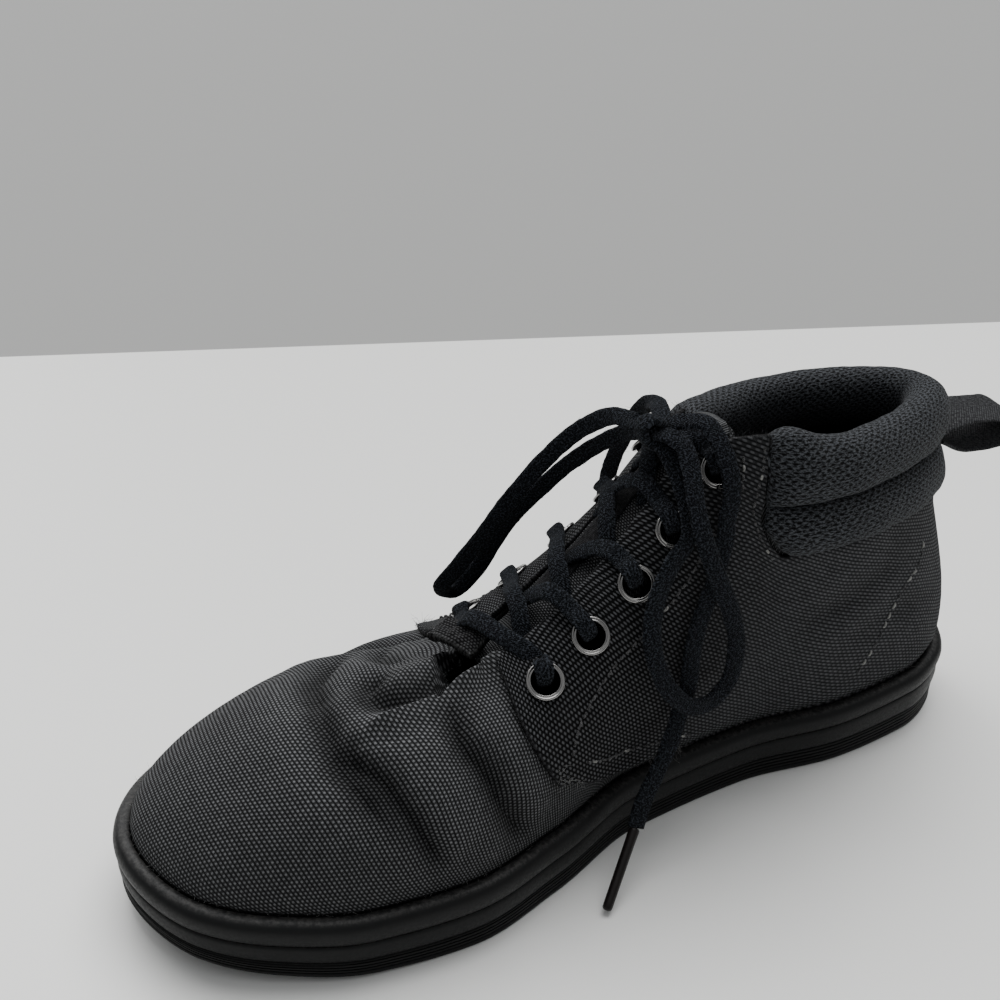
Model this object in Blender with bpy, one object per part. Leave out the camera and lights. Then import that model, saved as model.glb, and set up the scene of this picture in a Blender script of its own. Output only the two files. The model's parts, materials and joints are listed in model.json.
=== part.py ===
"""Right chukka boot: cupsole, hollow woven upper with laced quarters, padded collar and pull loop.

Frame: +Z up, toe towards -Y, +X the medial (inner) side, origin on the floor under the middle of
the sole. Sizes in the tables are millimetres; every object is built in metres.
"""
import math

import bmesh
import bpy
import numpy as np
from mathutils import Matrix, Vector

MM = 0.001
GAP = 0.3                 # clearance between touching pieces

# driving sizes, in millimetres
SOLE_LENGTH = 290.0
TOE_SPRING = 7.8          # rise of the sole's underside at the toe tip
HEEL_ROLL = 2.3           # rise of the underside at the very back
LIP_INSET = 4.1           # thickness of the cup's wall at its lip
CUP_FLOOR = 9.0           # thickness of the sole under the foot
UPPER_WALL = 2.0
QUARTER_THICK = 1.2
WALL_DROP = 5.0           # the wall stops this far under the collar's crown
QUARTER_DROP = 8.0        # and the quarters this far
TONGUE_THICK = 3.0
INSOLE_THICK = 4.0
EYELET_RADIUS = 5.4
EYELET_HOLE = 2.7
LACE_WIDE = 6.2
LACE_THICK = 2.0

FACING_END = 111.9        # turn at which the facings end and the collar begins

# outline of the sole from heel to toe: station along the length, then half widths each side
OUTLINE = {
    "station": (0.0, 0.05, 0.12, 0.22, 0.35, 0.50, 0.62, 0.72, 0.82, 0.90, 0.96, 1.0),
    "medial": (0.0, 27.1, 35.1, 37.1, 32.7, 35.6, 47.4, 54.2, 51.6, 43.0, 30.7, 0.0),
    "lateral": (0.0, 28.0, 35.0, 37.0, 36.5, 43.0, 50.0, 52.0, 49.0, 40.0, 27.0, 0.0),
}
# height of the cup's lip above the underside, heel to toe
LIP_HEIGHT = {"station": (0.0, 0.35, 0.70, 1.0), "height": (22.9, 20.7, 20.2, 16.4)}

# sections of the last, a row each: turn in degrees round the sole (0 toe, 180 heel), the section's
# upper end x y z, the way it faces there (0 towards the toe), and how far its two handles
# reach: out and up from the lip, out and down from the upper end
SECTION = ("turn", "x", "y", "z", "aim", "out", "up", "reach", "down")
MEDIAL = (
    (0, 9, -46, 63.5, 0, 2, 13, 40, 1),
    (30, 14, -45.5, 64, 38, 3, 15, 34, 2),
    (60, 19, -42, 65, 78, 4, 19, 22, 5),
    (72, 20, -34, 70, 90, 4, 22, 18, 5),
    (82, 19, -19, 78.5, 90, 5, 28, 18, 4),
    (90, 18, -7, 88, 90, 8, 34, 18, 3),
    (98, 16, 7, 101, 90, 9, 40, 18, 4),
    (106, 15, 23, 116, 92, 9, 44, 17, 5),
    (112, 26, 40, 121.5, 94, 8, 40, 9, 25),
    (122, 31, 56, 118.5, 100, 4, 34, 4, 28),
    (138, 28, 78, 116.5, 118, 3, 32, 2, 28),
    (152, 21, 99, 115.5, 138, 3, 30, 0, 28),
    (166, 12, 117, 115.3, 160, 4, 30, -2, 29),
    (180, 1, 124.5, 114.8, 180, 4, 30, -2, 30),
)
LATERAL = (
    (30, 5, -45.5, 64, 38, 3, 14, 34, 4),
    (60, 1, -42, 65, 78, 4, 16, 24, 8),
    (72, 1, -33, 70, 90, 4, 18, 22, 9),
    (82, 1, -19, 79.5, 90, 3, 22, 22, 9),
    (90, 0, -7, 88.5, 90, 1, 28, 22, 9),
    (98, -1, 7, 101, 90, 1, 34, 20, 9),
    (106, -2, 22, 113, 92, 2, 40, 17, 9),
    (112, -12, 40, 113.5, 94, 3, 38, 9, 24),
    (122, -21, 58, 111.5, 100, 3, 34, 4, 26),
    (138, -26, 82, 110.6, 118, 3, 32, 2, 28),
    (152, -21, 104, 112, 138, 3, 30, 0, 28),
    (166, -11, 119, 114, 160, 4, 30, -2, 29),
)


def hermite(keys, values, at, period=None):
    """Smooth curve through rows of values at rising keys, read at any number of places."""
    keys, values, at = np.asarray(keys, float), np.asarray(values, float), np.asarray(at, float)
    values = values.reshape(len(keys), -1)
    if period:
        keys = np.r_[keys[-2:] - period, keys, keys[:3] + period]
        values = np.vstack([values[-2:], values, values[:3]])
        at = (at - keys[2]) % period + keys[2]
    slope = np.zeros_like(values)
    step = np.diff(keys)[:, None]
    rate = np.diff(values, axis=0) / step
    slope[1:-1] = (rate[:-1] * step[1:] + rate[1:] * step[:-1]) / (step[1:] + step[:-1])
    slope[0], slope[-1] = rate[0], rate[-1]
    i = np.clip(np.searchsorted(keys, at, side="right") - 1, 0, len(keys) - 2)
    h = (keys[i + 1] - keys[i])[..., None]
    s = ((at - keys[i]) / (keys[i + 1] - keys[i]))[..., None]
    a, b = values[i], values[i + 1]
    return (a * (1 + 2 * s) * (1 - s) ** 2 + b * s * s * (3 - 2 * s)
            + h * slope[i] * s * (1 - s) ** 2 - h * slope[i + 1] * s * s * (1 - s))


def monotone(keys, values, at):
    """Curve through single values that never overshoots them."""
    keys, values = np.asarray(keys, float), np.asarray(values, float)
    step, rise = np.diff(keys), np.diff(values)
    rate = rise / step
    slope = np.zeros_like(values)
    same = rate[:-1] * rate[1:] > 0
    w1, w2 = 2 * step[1:] + step[:-1], step[1:] + 2 * step[:-1]
    safe = np.where(same, rate[:-1], 1), np.where(same, rate[1:], 1)
    slope[1:-1] = np.where(same, (w1 + w2) / (w1 / safe[0] + w2 / safe[1]), 0)
    slope[0], slope[-1] = rate[0], rate[-1]
    i = np.clip(np.searchsorted(keys, at, side="right") - 1, 0, len(keys) - 2)
    s = (at - keys[i]) / step[i]
    return (values[i] * (1 + 2 * s) * (1 - s) ** 2 + values[i + 1] * s * s * (3 - 2 * s)
            + step[i] * (slope[i] * s * (1 - s) ** 2 - slope[i + 1] * s * s * (1 - s)))


def station_of(turn):
    """Share of the length from the heel at a turn round the sole."""
    return (1 + np.cos(np.radians(turn))) / 2


def outline(turn, inset=0.0):
    """Plan of the sole at turns of 0 to 360 degrees, pulled in along its normal."""
    turn = np.asarray(turn, float)

    def plain(angle):
        t = station_of(angle)
        medial = np.sqrt(np.maximum(monotone(OUTLINE["station"], np.square(OUTLINE["medial"]), t), 0))
        lateral = np.sqrt(np.maximum(monotone(OUTLINE["station"], np.square(OUTLINE["lateral"]), t), 0))
        side = np.where(np.sin(np.radians(angle)) >= 0, medial, -lateral)
        return np.stack([side, SOLE_LENGTH * (0.5 - t)], axis=-1)

    ahead, behind = plain(turn + 1.5), plain(turn - 1.5)
    along = ahead - behind
    along /= np.linalg.norm(along, axis=-1, keepdims=True)
    outward = np.stack([along[..., 1], -along[..., 0]], axis=-1)
    return plain(turn) - outward * np.asarray(inset)[..., None], outward


def underside(turn):
    """Height of the sole's underside: flat at the heel and ball, sprung at the toe."""
    t = station_of(turn)
    toe = TOE_SPRING * np.clip((t - 0.72) / 0.28, 0, 1) ** 2
    return toe + HEEL_ROLL * np.clip((0.08 - t) / 0.08, 0, 1) ** 2


def lip_height(turn):
    return monotone(LIP_HEIGHT["station"], LIP_HEIGHT["height"], station_of(turn))


def section_rows():
    """All sections in one ring from the toe round the medial side and back by the lateral side."""
    lateral = [(360 - row[0],) + row[1:4] + (360 - row[4],) + row[5:] for row in LATERAL[::-1]]
    rows = np.array(list(MEDIAL) + lateral, float)
    rows[:, 4] -= rows[:, 0]
    return rows


ROWS = section_rows()


def last_point(turn, v):
    """Outer surface of the last: v is 0 at the lip and 1 at the section's upper end."""
    turn, v = np.broadcast_arrays(np.asarray(turn, float), np.asarray(v, float))
    read = hermite(ROWS[:, 0], ROWS[:, 1:], turn, period=360)
    foot, outward = outline(turn, LIP_INSET + GAP)
    start = np.concatenate([foot, (underside(turn) + lip_height(turn))[..., None]], axis=-1)
    end = read[..., 0:3]
    aim = np.radians(read[..., 3] + turn)
    facing = np.stack([np.sin(aim), -np.cos(aim), np.zeros_like(aim)], axis=-1)
    low = start + np.concatenate([outward * read[..., 4:5], read[..., 5:6]], axis=-1)
    high = end + facing * read[..., 6:7]
    high[..., 2] -= read[..., 7]
    s = np.maximum(v, 0)[..., None]
    curve = (start * (1 - s) ** 3 + 3 * low * s * (1 - s) ** 2
             + 3 * high * s * s * (1 - s) + end * s ** 3)
    return curve


def last_shell(turn, v, offset=0.0):
    """A point a given distance outside the last, along its normal."""
    step_turn, step_v = 0.4, 0.004
    turn, v = np.broadcast_arrays(np.asarray(turn, float), np.asarray(v, float))
    v_low, v_high = np.clip(v - step_v, 0, 1), np.clip(v + step_v, 0, 1)
    across = last_point(turn + step_turn, v) - last_point(turn - step_turn, v)
    rise = last_point(turn, v_high) - last_point(turn, v_low)
    normal = np.cross(across, rise)
    normal /= np.linalg.norm(normal, axis=-1, keepdims=True)
    return last_point(turn, v) + normal * np.asarray(offset)[..., None]


def v_at_height(turn, height):
    """Where a section reaches a height, found by halving."""
    turn, height = np.broadcast_arrays(np.asarray(turn, float), np.asarray(height, float))
    low, high = np.zeros_like(turn), np.ones_like(turn)
    for _ in range(24):
        middle = (low + high) / 2
        under = last_point(turn, middle)[..., 2] < height
        low, high = np.where(under, middle, low), np.where(under, high, middle)
    return (low + high) / 2


def off_heel(turn):
    """Turn measured from the heel's back, the same on both sides."""
    return np.abs(np.asarray(turn, float) % 360 - 180)


def top_edge(turn, drop):
    """The v of a layer's top edge: the facing's own edge in front, under the collar behind."""
    crown = last_point(turn, 1.0)[..., 2]
    in_front = off_heel(turn) > 179.9 - FACING_END
    return np.where(in_front, 1.0, v_at_height(turn, crown - drop))


# ---------------------------------------------------------------- building blocks

def paint(name, colour, rough, metal=0.0):
    """A plain Principled material of its own for one sub-part."""
    material = bpy.data.materials.new(name)
    material.use_nodes = True
    shader = material.node_tree.nodes["Principled BSDF"]
    shader.inputs["Base Color"].default_value = (*colour, 1.0)
    shader.inputs["Roughness"].default_value = rough
    shader.inputs["Metallic"].default_value = metal
    return material


def add(name, mesh, colour=(0.02, 0.02, 0.022), rough=0.8, metal=0.0):
    """Put a mesh in the scene under its name, shaded smooth with its true edges kept."""
    piece = bpy.data.objects.new(name, mesh)
    bpy.context.collection.objects.link(piece)
    mesh.shade_smooth()
    mesh.set_sharp_from_angle(angle=math.radians(40))
    mesh.materials.append(paint(name + "_material", colour, rough, metal))
    return piece


def mesh_from(name, points, faces):
    """A mesh of metres from points in millimetres, with its faces turned outward."""
    mesh = bpy.data.meshes.new(name)
    mesh.from_pydata([tuple(p) for p in np.asarray(points, float) * MM], [], faces)
    shape = bmesh.new()
    shape.from_mesh(mesh)
    bmesh.ops.recalc_face_normals(shape, faces=shape.faces)
    shape.to_mesh(mesh)
    shape.free()
    return mesh


def slab(name, outer, inner, ring=False):
    """Closed solid between two matching grids of rows x columns x 3; ring joins the columns."""
    rows, columns = outer.shape[:2]
    points = np.concatenate([outer.reshape(-1, 3), inner.reshape(-1, 3)])

    def at(layer, row, column):
        return layer * rows * columns + row * columns + column % columns

    faces = []
    for row in range(rows - 1):
        for column in range(columns if ring else columns - 1):
            for layer in (0, 1):
                corner = at(layer, row, column)
                across = at(layer, row + 1, column + 1)
                faces.append((corner, at(layer, row, column + 1), across))
                faces.append((corner, across, at(layer, row + 1, column)))
    for row in (0, rows - 1):
        for column in range(columns if ring else columns - 1):
            faces.append((at(0, row, column), at(0, row, column + 1),
                          at(1, row, column + 1), at(1, row, column)))
    if not ring:
        for column in (0, columns - 1):
            for row in range(rows - 1):
                faces.append((at(0, row, column), at(0, row + 1, column),
                              at(1, row + 1, column), at(1, row, column)))
    return mesh_from(name, points, faces)


def sweep(name, loops):
    """Closed solid through a row of closed loops, capped at both ends."""
    stations, size = loops.shape[:2]
    faces = [(s * size + k, s * size + (k + 1) % size,
              (s + 1) * size + (k + 1) % size, (s + 1) * size + k)
             for s in range(stations - 1) for k in range(size)]
    faces += [tuple(range(size)), tuple(range((stations - 1) * size, stations * size))]
    return mesh_from(name, loops.reshape(-1, 3), faces)


def add_guide(name, mesh):
    """A solid used only to cut or join others."""
    guide = bpy.data.objects.new(name, mesh)
    bpy.context.collection.objects.link(guide)
    guide.hide_render = True
    guide.display_type = "WIRE"
    return guide


def modify(piece, operation, guide):
    """Cut or join a piece with a guide solid."""
    change = piece.modifiers.new(guide.name, "BOOLEAN")
    change.operation = operation
    change.solver = "EXACT"
    change.object = guide


def turned(turn, side):
    """A turn on the medial side, or its twin on the lateral side."""
    return turn if side == "medial" else 360 - np.asarray(turn, float)


# ---------------------------------------------------------------- sole and insole

TURN_STEP = 7.5
SOLE_TURNS = np.arange(0, 360, TURN_STEP)
# side of the cup from the floor up: inset, then level (0 floor, 1 top of the ribs,
# 2 top of the middle band, 3 lip)
SOLE_SIDE = (
    (0.6, 0.0), (0.3, 0.2), (1.3, 0.33), (0.3, 0.46), (1.3, 0.59), (0.3, 0.72), (1.4, 0.9),
    (0.1, 1.06), (-0.2, 1.5), (0.1, 1.9), (1.0, 2.01), (-0.3, 2.14), (-0.6, 2.5),
    (0.2, 2.85), (2.2, 3.0),
)
# how the lip's height is shared between ribs and middle band, heel to toe
SOLE_SHARE = {"station": (0.0, 0.5, 1.0), "ribs": (0.34, 0.34, 0.26), "band": (0.37, 0.31, 0.32)}


def level_height(turn, level):
    """Height of a level of the sole's side."""
    t = station_of(turn)
    ribs = monotone(SOLE_SHARE["station"], SOLE_SHARE["ribs"], t)
    band = monotone(SOLE_SHARE["station"], SOLE_SHARE["band"], t)
    share = np.interp(level, (0, 1), (0, 1)) * ribs
    share = share + np.clip(level - 1, 0, 1) * band + np.clip(level - 2, 0, 1) * (1 - ribs - band)
    return underside(turn) + lip_height(turn) * share


def ladder(start, count):
    """Faces across a ring of points whose first and middle ones lie on the long axis."""
    half = count // 2
    faces = [(start, start + 1, start + count - 1)]
    faces += [(start + k, start + k + 1, start + count - k - 1, start + count - k)
              for k in range(1, half - 1)]
    faces.append((start + half - 1, start + half, start + half + 1))
    return faces


def tray(name, rings):
    """Closed solid from a stack of rings, its two ends closed by ladders."""
    rings = np.array(rings)
    stack, count = rings.shape[:2]
    faces = [(r * count + k, r * count + (k + 1) % count,
              (r + 1) * count + (k + 1) % count, (r + 1) * count + k)
             for r in range(stack - 1) for k in range(count)]
    faces += ladder(0, count) + ladder((stack - 1) * count, count)
    return mesh_from(name, rings.reshape(-1, 3), faces)


def plan_ring(turns, inset, height):
    plan, _ = outline(turns, inset)
    return np.concatenate([plan, np.broadcast_to(height, turns.shape)[:, None]], axis=1)


def build_sole():
    turns = SOLE_TURNS
    rings = [plan_ring(turns, inset, level_height(turns, level)) for inset, level in SOLE_SIDE]
    lip = underside(turns) + lip_height(turns)
    rings.append(plan_ring(turns, LIP_INSET, lip - 0.5))
    rings.append(plan_ring(turns, LIP_INSET, underside(turns) + CUP_FLOOR))
    return add("cupsole", tray("cupsole", rings), (0.012, 0.013, 0.014), 0.5)


def build_insole():
    turns = np.arange(0, 360, 11.25)
    inset = LIP_INSET + UPPER_WALL + 5 * GAP
    low = underside(turns) + CUP_FLOOR + GAP
    rings = [plan_ring(turns, inset, low), plan_ring(turns, inset, low + INSOLE_THICK)]
    return add("insole", tray("insole", rings), (0.03, 0.03, 0.032), 0.9)


# ---------------------------------------------------------------- upper and quarters

UPPER_ROWS = (0.0, 0.14, 0.3, 0.47, 0.64, 0.82, 1.0)


def shell_turns():
    """Turns of the upper's columns, with the step where lacing gives way to collar."""
    steps = np.array((108.7, FACING_END, FACING_END + 0.5))
    return np.unique(np.r_[SOLE_TURNS, steps, 360 - steps])


def build_upper():
    """One hollow wall from the cup's floor to the throat and collar, open below."""
    turns = shell_turns()
    top = top_edge(turns, WALL_DROP)
    foot, outward = outline(turns, LIP_INSET + GAP)
    inside = foot - outward * UPPER_WALL
    base = (underside(turns) + CUP_FLOOR + GAP)[:, None]
    outer = [np.concatenate([foot, base], axis=1)]
    inner = [np.concatenate([inside, base], axis=1)]
    for share in UPPER_ROWS:
        outer.append(last_shell(turns, share * top))
        inner.append(last_shell(turns, share * top, -UPPER_WALL))
    return add("upper", slab("upper", np.array(outer), np.array(inner), ring=True),
               (0.028, 0.029, 0.031), 0.85)


# lower front line of a quarter, from the throat round the corner to the sole: turn and v
QUARTER_LINE = {"turn": (59.0, 60.4, 65.4, 70.4, 75.7, 84.3, 91.5),
                "v": (1.0, 0.955, 0.72, 0.502, 0.246, 0.085, 0.008)}
QUARTER_FRONT = 60.0
QUARTER_END = 179.4
QUARTER_HEM = 0.012


def build_quarter(side):
    """Quarter laid over the upper from the lacing to the heel seam, its corner cut away."""
    turns = shell_turns()
    turns = np.r_[turns[(turns >= QUARTER_FRONT) & (turns < QUARTER_END - 1)], QUARTER_END]
    top = top_edge(turns, WALL_DROP)
    rows = [np.full_like(turns, QUARTER_HEM)] + [share * top for share in UPPER_ROWS[1:-1]]
    rows = np.array(rows + [top_edge(turns, QUARTER_DROP)])
    turns = turned(turns, side)
    name = "quarter_" + side
    inner = last_shell(turns, rows, GAP)
    outer = last_shell(turns, rows, GAP + QUARTER_THICK)
    quarter = add(name, slab(name, outer, inner), (0.03, 0.031, 0.033), 0.85)
    line = np.r_[QUARTER_FRONT - 1.0, 60.4, 62.5, 65.4, 68, 70.4, 73, 75.7, 78, 81, 84.3, 88, 91.5]
    high = monotone(QUARTER_LINE["turn"], QUARTER_LINE["v"], line)
    bands = np.linspace(0, 1, 10)[:, None] * high
    line = turned(line, side)
    layers = []
    for offset in (4.0, -1.2):
        layer = last_shell(line, bands, offset)
        layers.append(np.concatenate([layer[:1] - np.array((0, 0, 3.0)), layer]))
    cutter = add_guide("quarter_cutter_" + side, slab("quarter_cutter_" + side, *layers))
    modify(quarter, "DIFFERENCE", cutter)
    return quarter


# ---------------------------------------------------------------- eyelets

# turn and v of the eyelets' centres, from the toe up
EYELETS = ((73.4, 0.74), (82.5, 0.76), (91.7, 0.775), (99.0, 0.803), (106.4, 0.848))
QUARTER_FACE = GAP + QUARTER_THICK


def eyelet_frame(side, place, height=0.0):
    """Place and turning of an eyelet, its own z along the surface's normal."""
    turn, v = EYELETS[place]
    turn = float(turned(turn, side))
    centre = last_shell(turn, v, QUARTER_FACE + height)
    normal = Vector(last_shell(turn, v, QUARTER_FACE + height + 1) - centre)
    return Matrix.Translation(Vector(centre) * MM) @ normal.to_track_quat("Z", "X").to_matrix().to_4x4()


def turned_profile(name, profile, sides=10):
    """Ring turned about z from (radius, height) points in millimetres."""
    angles = np.arange(sides) * 2 * math.pi / sides
    points = [(r * math.cos(a), r * math.sin(a), z) for a in angles for r, z in profile]
    size = len(profile)
    faces = [(s * size + k, s * size + (k + 1) % size,
              (s + 1) % sides * size + (k + 1) % size, (s + 1) % sides * size + k)
             for s in range(sides) for k in range(size)]
    return mesh_from(name, points, faces)


BARREL_RADIUS = 3.3
FLANGE_LIFT = 0.8
# flange from its outer edge over its crown to the hole: radius and height over the quarter
FLANGE = ((EYELET_RADIUS, FLANGE_LIFT), (4.6, 1.7), (EYELET_HOLE, 1.4))


def build_eyelets(side):
    """Five metal eyelets a side: a rounded flange with a barrel through the quarter and wall."""
    barrel_end = -(QUARTER_FACE + UPPER_WALL)
    profile = ((EYELET_HOLE, barrel_end), (BARREL_RADIUS, barrel_end),
               (BARREL_RADIUS, FLANGE_LIFT)) + FLANGE
    for place in range(len(EYELETS)):
        name = f"eyelet_{side}_{place + 1}"
        piece = add(name, turned_profile(name, profile), (0.25, 0.25, 0.26), 0.25, 1.0)
        piece.matrix_world = eyelet_frame(side, place)


def cut_eyelet_holes(side, layers):
    """Holes for the barrels, cut through the quarter and the wall under it."""
    shape = bmesh.new()
    radius = (BARREL_RADIUS + GAP) * MM
    for place in range(len(EYELETS)):
        bmesh.ops.create_cone(shape, cap_ends=True, segments=12, radius1=radius, radius2=radius,
                              depth=12 * MM, matrix=eyelet_frame(side, place, -1.5))
    mesh = bpy.data.meshes.new("eyelet_cutters_" + side)
    shape.to_mesh(mesh)
    shape.free()
    cutter = add_guide(mesh.name, mesh)
    for layer in layers:
        modify(layer, "DIFFERENCE", cutter)


# ---------------------------------------------------------------- collar

# heights of the collar's lower edge and of the seam between its two tiers, by turn off the heel
COLLAR_LEVELS = {"off": (0.0, 20.0, 45.0, 70.0), "low": (81.0, 83.0, 85.0, 85.5),
                 "seam": (98.0, 98.5, 101.0, 101.5)}
COLLAR_BACK = QUARTER_FACE + 2 * GAP
COLLAR_INSIDE = -(UPPER_WALL + 3.5 * GAP)


def collar_loop(turn):
    """Section of the padded collar at one turn: two tiers outside, over the rim, and inside."""
    off = off_heel(turn)
    low = np.interp(off, COLLAR_LEVELS["off"], COLLAR_LEVELS["low"])
    seam = np.interp(off, COLLAR_LEVELS["off"], COLLAR_LEVELS["seam"])
    crown = float(last_point(turn, 1.0)[2])
    ramp = np.clip((180 - FACING_END - off) / 4.0, 0, 1)
    puff = 0.35 + 0.65 * ramp ** 0.5
    rows = [(low + (seam - low) * s, COLLAR_BACK + 0.8 + puff * 3.6 * w)
            for s, w in ((0.0, 0.0), (0.12, 0.55), (0.45, 1.0), (0.8, 0.8), (0.97, 0.25))]
    rows += [(seam + (crown - seam) * s, COLLAR_BACK + 0.8 + puff * 4.6 * w)
             for s, w in ((0.08, 0.35), (0.3, 0.85), (0.6, 1.0), (0.85, 0.75))]
    rows += [(crown + 0.6, COLLAR_BACK - 0.4 + puff * 1.6), (crown + 0.4, -2.8 - puff),
             (crown - 2.5, -4.2 - 2.4 * puff), (crown - 8, -4.4 - 3.2 * puff),
             (crown - 14, -4.0 - 2.4 * puff), (crown - 18, -3.4)]
    slot = crown - WALL_DROP + GAP + 0.2
    rows += [(crown - 18, COLLAR_INSIDE), (slot, COLLAR_INSIDE), (slot, COLLAR_BACK),
             ((slot + low) / 2, COLLAR_BACK)]
    rows.append((low, COLLAR_BACK))
    heights = np.array([row[0] for row in rows])
    across = np.array([row[1] for row in rows])
    wall = last_point(turn, v_at_height(turn, np.minimum(heights, crown)))
    facing = last_shell(turn, 0.85, 1.0) - last_point(turn, 0.85)
    facing[2] = 0
    facing /= np.linalg.norm(facing)
    points = wall + facing * across[:, None]
    points[:, 2] = heights
    return points


def build_collar():
    start = FACING_END + 0.9
    inside = SOLE_TURNS[(SOLE_TURNS > start + 4) & (SOLE_TURNS < 356 - start)]
    turns = np.r_[start, start + 1.8, inside, 358.2 - start, 360 - start]
    loops = np.array([collar_loop(turn) for turn in turns])
    return add("collar", sweep("collar", loops), (0.03, 0.031, 0.034), 0.9)


# ---------------------------------------------------------------- tongue

# free lower end of the tongue: y, x and z of its middle, half width, and drop of its edges
TONGUE_TAB = (
    (-54, 8.6, 67.4, 7.4, 0.6),
    (-47, 9.3, 67.3, 7.2, 0.6),
    (-40, 10.2, 67.2, 7.0, 0.6),
    (-32, 10.4, 67.4, 6.8, 0.6),
)
# rows under the facings: turn, v of the tongue's side edges, and depth under the wall
TONGUE_UNDER = ((81.0, 0.88, 1.1), (85.0, 0.74, 1.1), (90.0, 0.69, 1.0), (97.5, 0.7, 1.0),
                (105.0, 0.82, 1.6), (107.0, 0.86, 1.8), (108.7, 0.91, 1.8))
TONGUE_TOP = ((33.5, 7.5, 120.5, 8.5, 2.5),)


def strip_row(y, x, z, half, drop):
    across = np.linspace(-1, 1, 9)
    return np.stack([x + half * across, y + 0 * across, z - drop * across ** 2], axis=-1)


def build_tongue():
    """Curved padded strip under the facings, its lower end standing free over the vamp."""
    middle = [strip_row(*row) for row in TONGUE_TAB]
    for turn, edge, under in TONGUE_UNDER:
        depth = -(UPPER_WALL + under + TONGUE_THICK / 2)
        levels = np.array((edge, (edge + 1) / 2, 1.0))
        near, far = (last_shell(turned(turn, side), levels, depth) for side in ("medial", "lateral"))
        gap = np.linspace(0, 1, 5)[1:-1, None]
        bridge = far[2] + (near[2] - far[2]) * gap + np.array((0, -0.5, 1.2)) * (gap * (1 - gap)) * 4
        middle.append(np.concatenate([far, bridge, near[::-1]]))
    middle += [strip_row(*row) for row in TONGUE_TOP]
    middle = np.array(middle)
    up = np.gradient(middle, axis=0)
    side = np.gradient(middle, axis=1)
    normal = np.cross(side, up)
    normal /= np.linalg.norm(normal, axis=-1, keepdims=True)
    half = TONGUE_THICK / 2 * np.array((0.5, 1, 1, 1, 1, 1, 1, 1, 0.5))[None, :, None]
    return add("tongue", slab("tongue", middle + normal * half, middle - normal * half),
               (0.028, 0.029, 0.031), 0.85)


# ---------------------------------------------------------------- heel trim

def build_backstay():
    """Narrow strip over the heel seam, from the lip to the collar."""
    heights = np.linspace(0.02, 1, 7)[:, None]
    turns = 180 + np.linspace(-5.2, 5.2, 5)[None, :]
    top = v_at_height(turns, 79.8)
    inner = last_shell(turns, heights * top, QUARTER_FACE + 1.5 * GAP)
    outer = last_shell(turns, heights * top, QUARTER_FACE + 1.5 * GAP + 1.2)
    return add("backstay", slab("backstay", outer, inner), (0.008, 0.008, 0.009), 0.9)


# middle line of the pull loop's webbing: y and z
PULL_LOOP = ((133.2, 97.6), (140, 99.5), (150, 99.2), (160, 97.6), (167, 96.2), (170, 93.0),
             (166.5, 89.6), (158, 88.6), (148, 88.6), (140, 89.6), (133.6, 92.4))
PULL_LOOP_WIDTH = 18.0
WEBBING_THICK = 1.4


def build_pull_loop():
    """Loop of webbing standing out behind the collar, a little twisted."""
    line = np.array(PULL_LOOP, float)
    along = np.gradient(line, axis=0)
    along /= np.linalg.norm(along, axis=1, keepdims=True)
    loops = []
    for (y, z), (run, rise) in zip(line, along):
        lean = 0.16 * (y - 133) / 37
        for_side = []
        for x, lift in ((-0.5, 0.5), (0.5, 0.5), (0.5, -0.5), (-0.5, -0.5)):
            width = x * PULL_LOOP_WIDTH
            thick = lift * WEBBING_THICK
            for_side.append((1 + width, y - rise * thick, z + run * thick - width * lean))
        loops.append(for_side)
    return add("pull_loop", sweep("pull_loop", np.array(loops)), (0.008, 0.008, 0.009), 0.9)


# ---------------------------------------------------------------- laces

def smooth_route(points, step):
    """Evenly spaced points on a smooth curve through a route's own points."""
    points = np.array(points, float)
    keys = np.r_[0, np.cumsum(np.linalg.norm(np.diff(points, axis=0), axis=1))]
    fine = hermite(keys, points, np.linspace(0, keys[-1], 400))
    run = np.r_[0, np.cumsum(np.linalg.norm(np.diff(fine, axis=0), axis=1))]
    even = np.linspace(0, run[-1], max(4, int(round(run[-1] / step)) + 1))
    return np.stack([np.interp(even, run, fine[:, k]) for k in range(3)], axis=1)


def strap_mesh(name, route, facing):
    """Flat lace with rounded edges along a route, its flat side turned as given at each point."""
    line = smooth_route(route, 5.0)
    share = np.linspace(0, 1, len(line))
    outward = np.stack([np.interp(share, np.linspace(0, 1, len(facing)), np.array(facing)[:, k])
                        for k in range(3)], axis=1)
    along = np.gradient(line, axis=0)
    along /= np.linalg.norm(along, axis=1, keepdims=True)
    across = np.cross(along, outward)
    across /= np.linalg.norm(across, axis=1, keepdims=True)
    rise = np.cross(across, along)
    edge = ((1, 0), (0.72, 0.9), (-0.72, 0.9), (-1, 0), (-0.72, -0.9), (0.72, -0.9))
    loops = np.array([[p + a * w * LACE_WIDE / 2 + r * t * LACE_THICK / 2 for w, t in edge]
                      for p, a, r in zip(line, across, rise)])
    return sweep(name, loops)


LACE_LIFT = 1.7 + LACE_THICK / 2 + GAP      # the lace's middle over the quarter at an eyelet


def over_facing(side, turn, v, lift):
    """Point over a quarter's face and the surface's direction there."""
    turn = float(turned(turn, side))
    point = last_shell(turn, v, QUARTER_FACE + lift)
    return point, last_shell(turn, v, QUARTER_FACE + lift + 1) - point


def past_flange(eye, end, face):
    """Point level with a lace's end over an eyelet, just past the flange towards the gap."""
    run = end - eye
    run -= face * (run @ face)
    return eye + run / np.linalg.norm(run) * (EYELET_RADIUS + 1.0)


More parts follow.
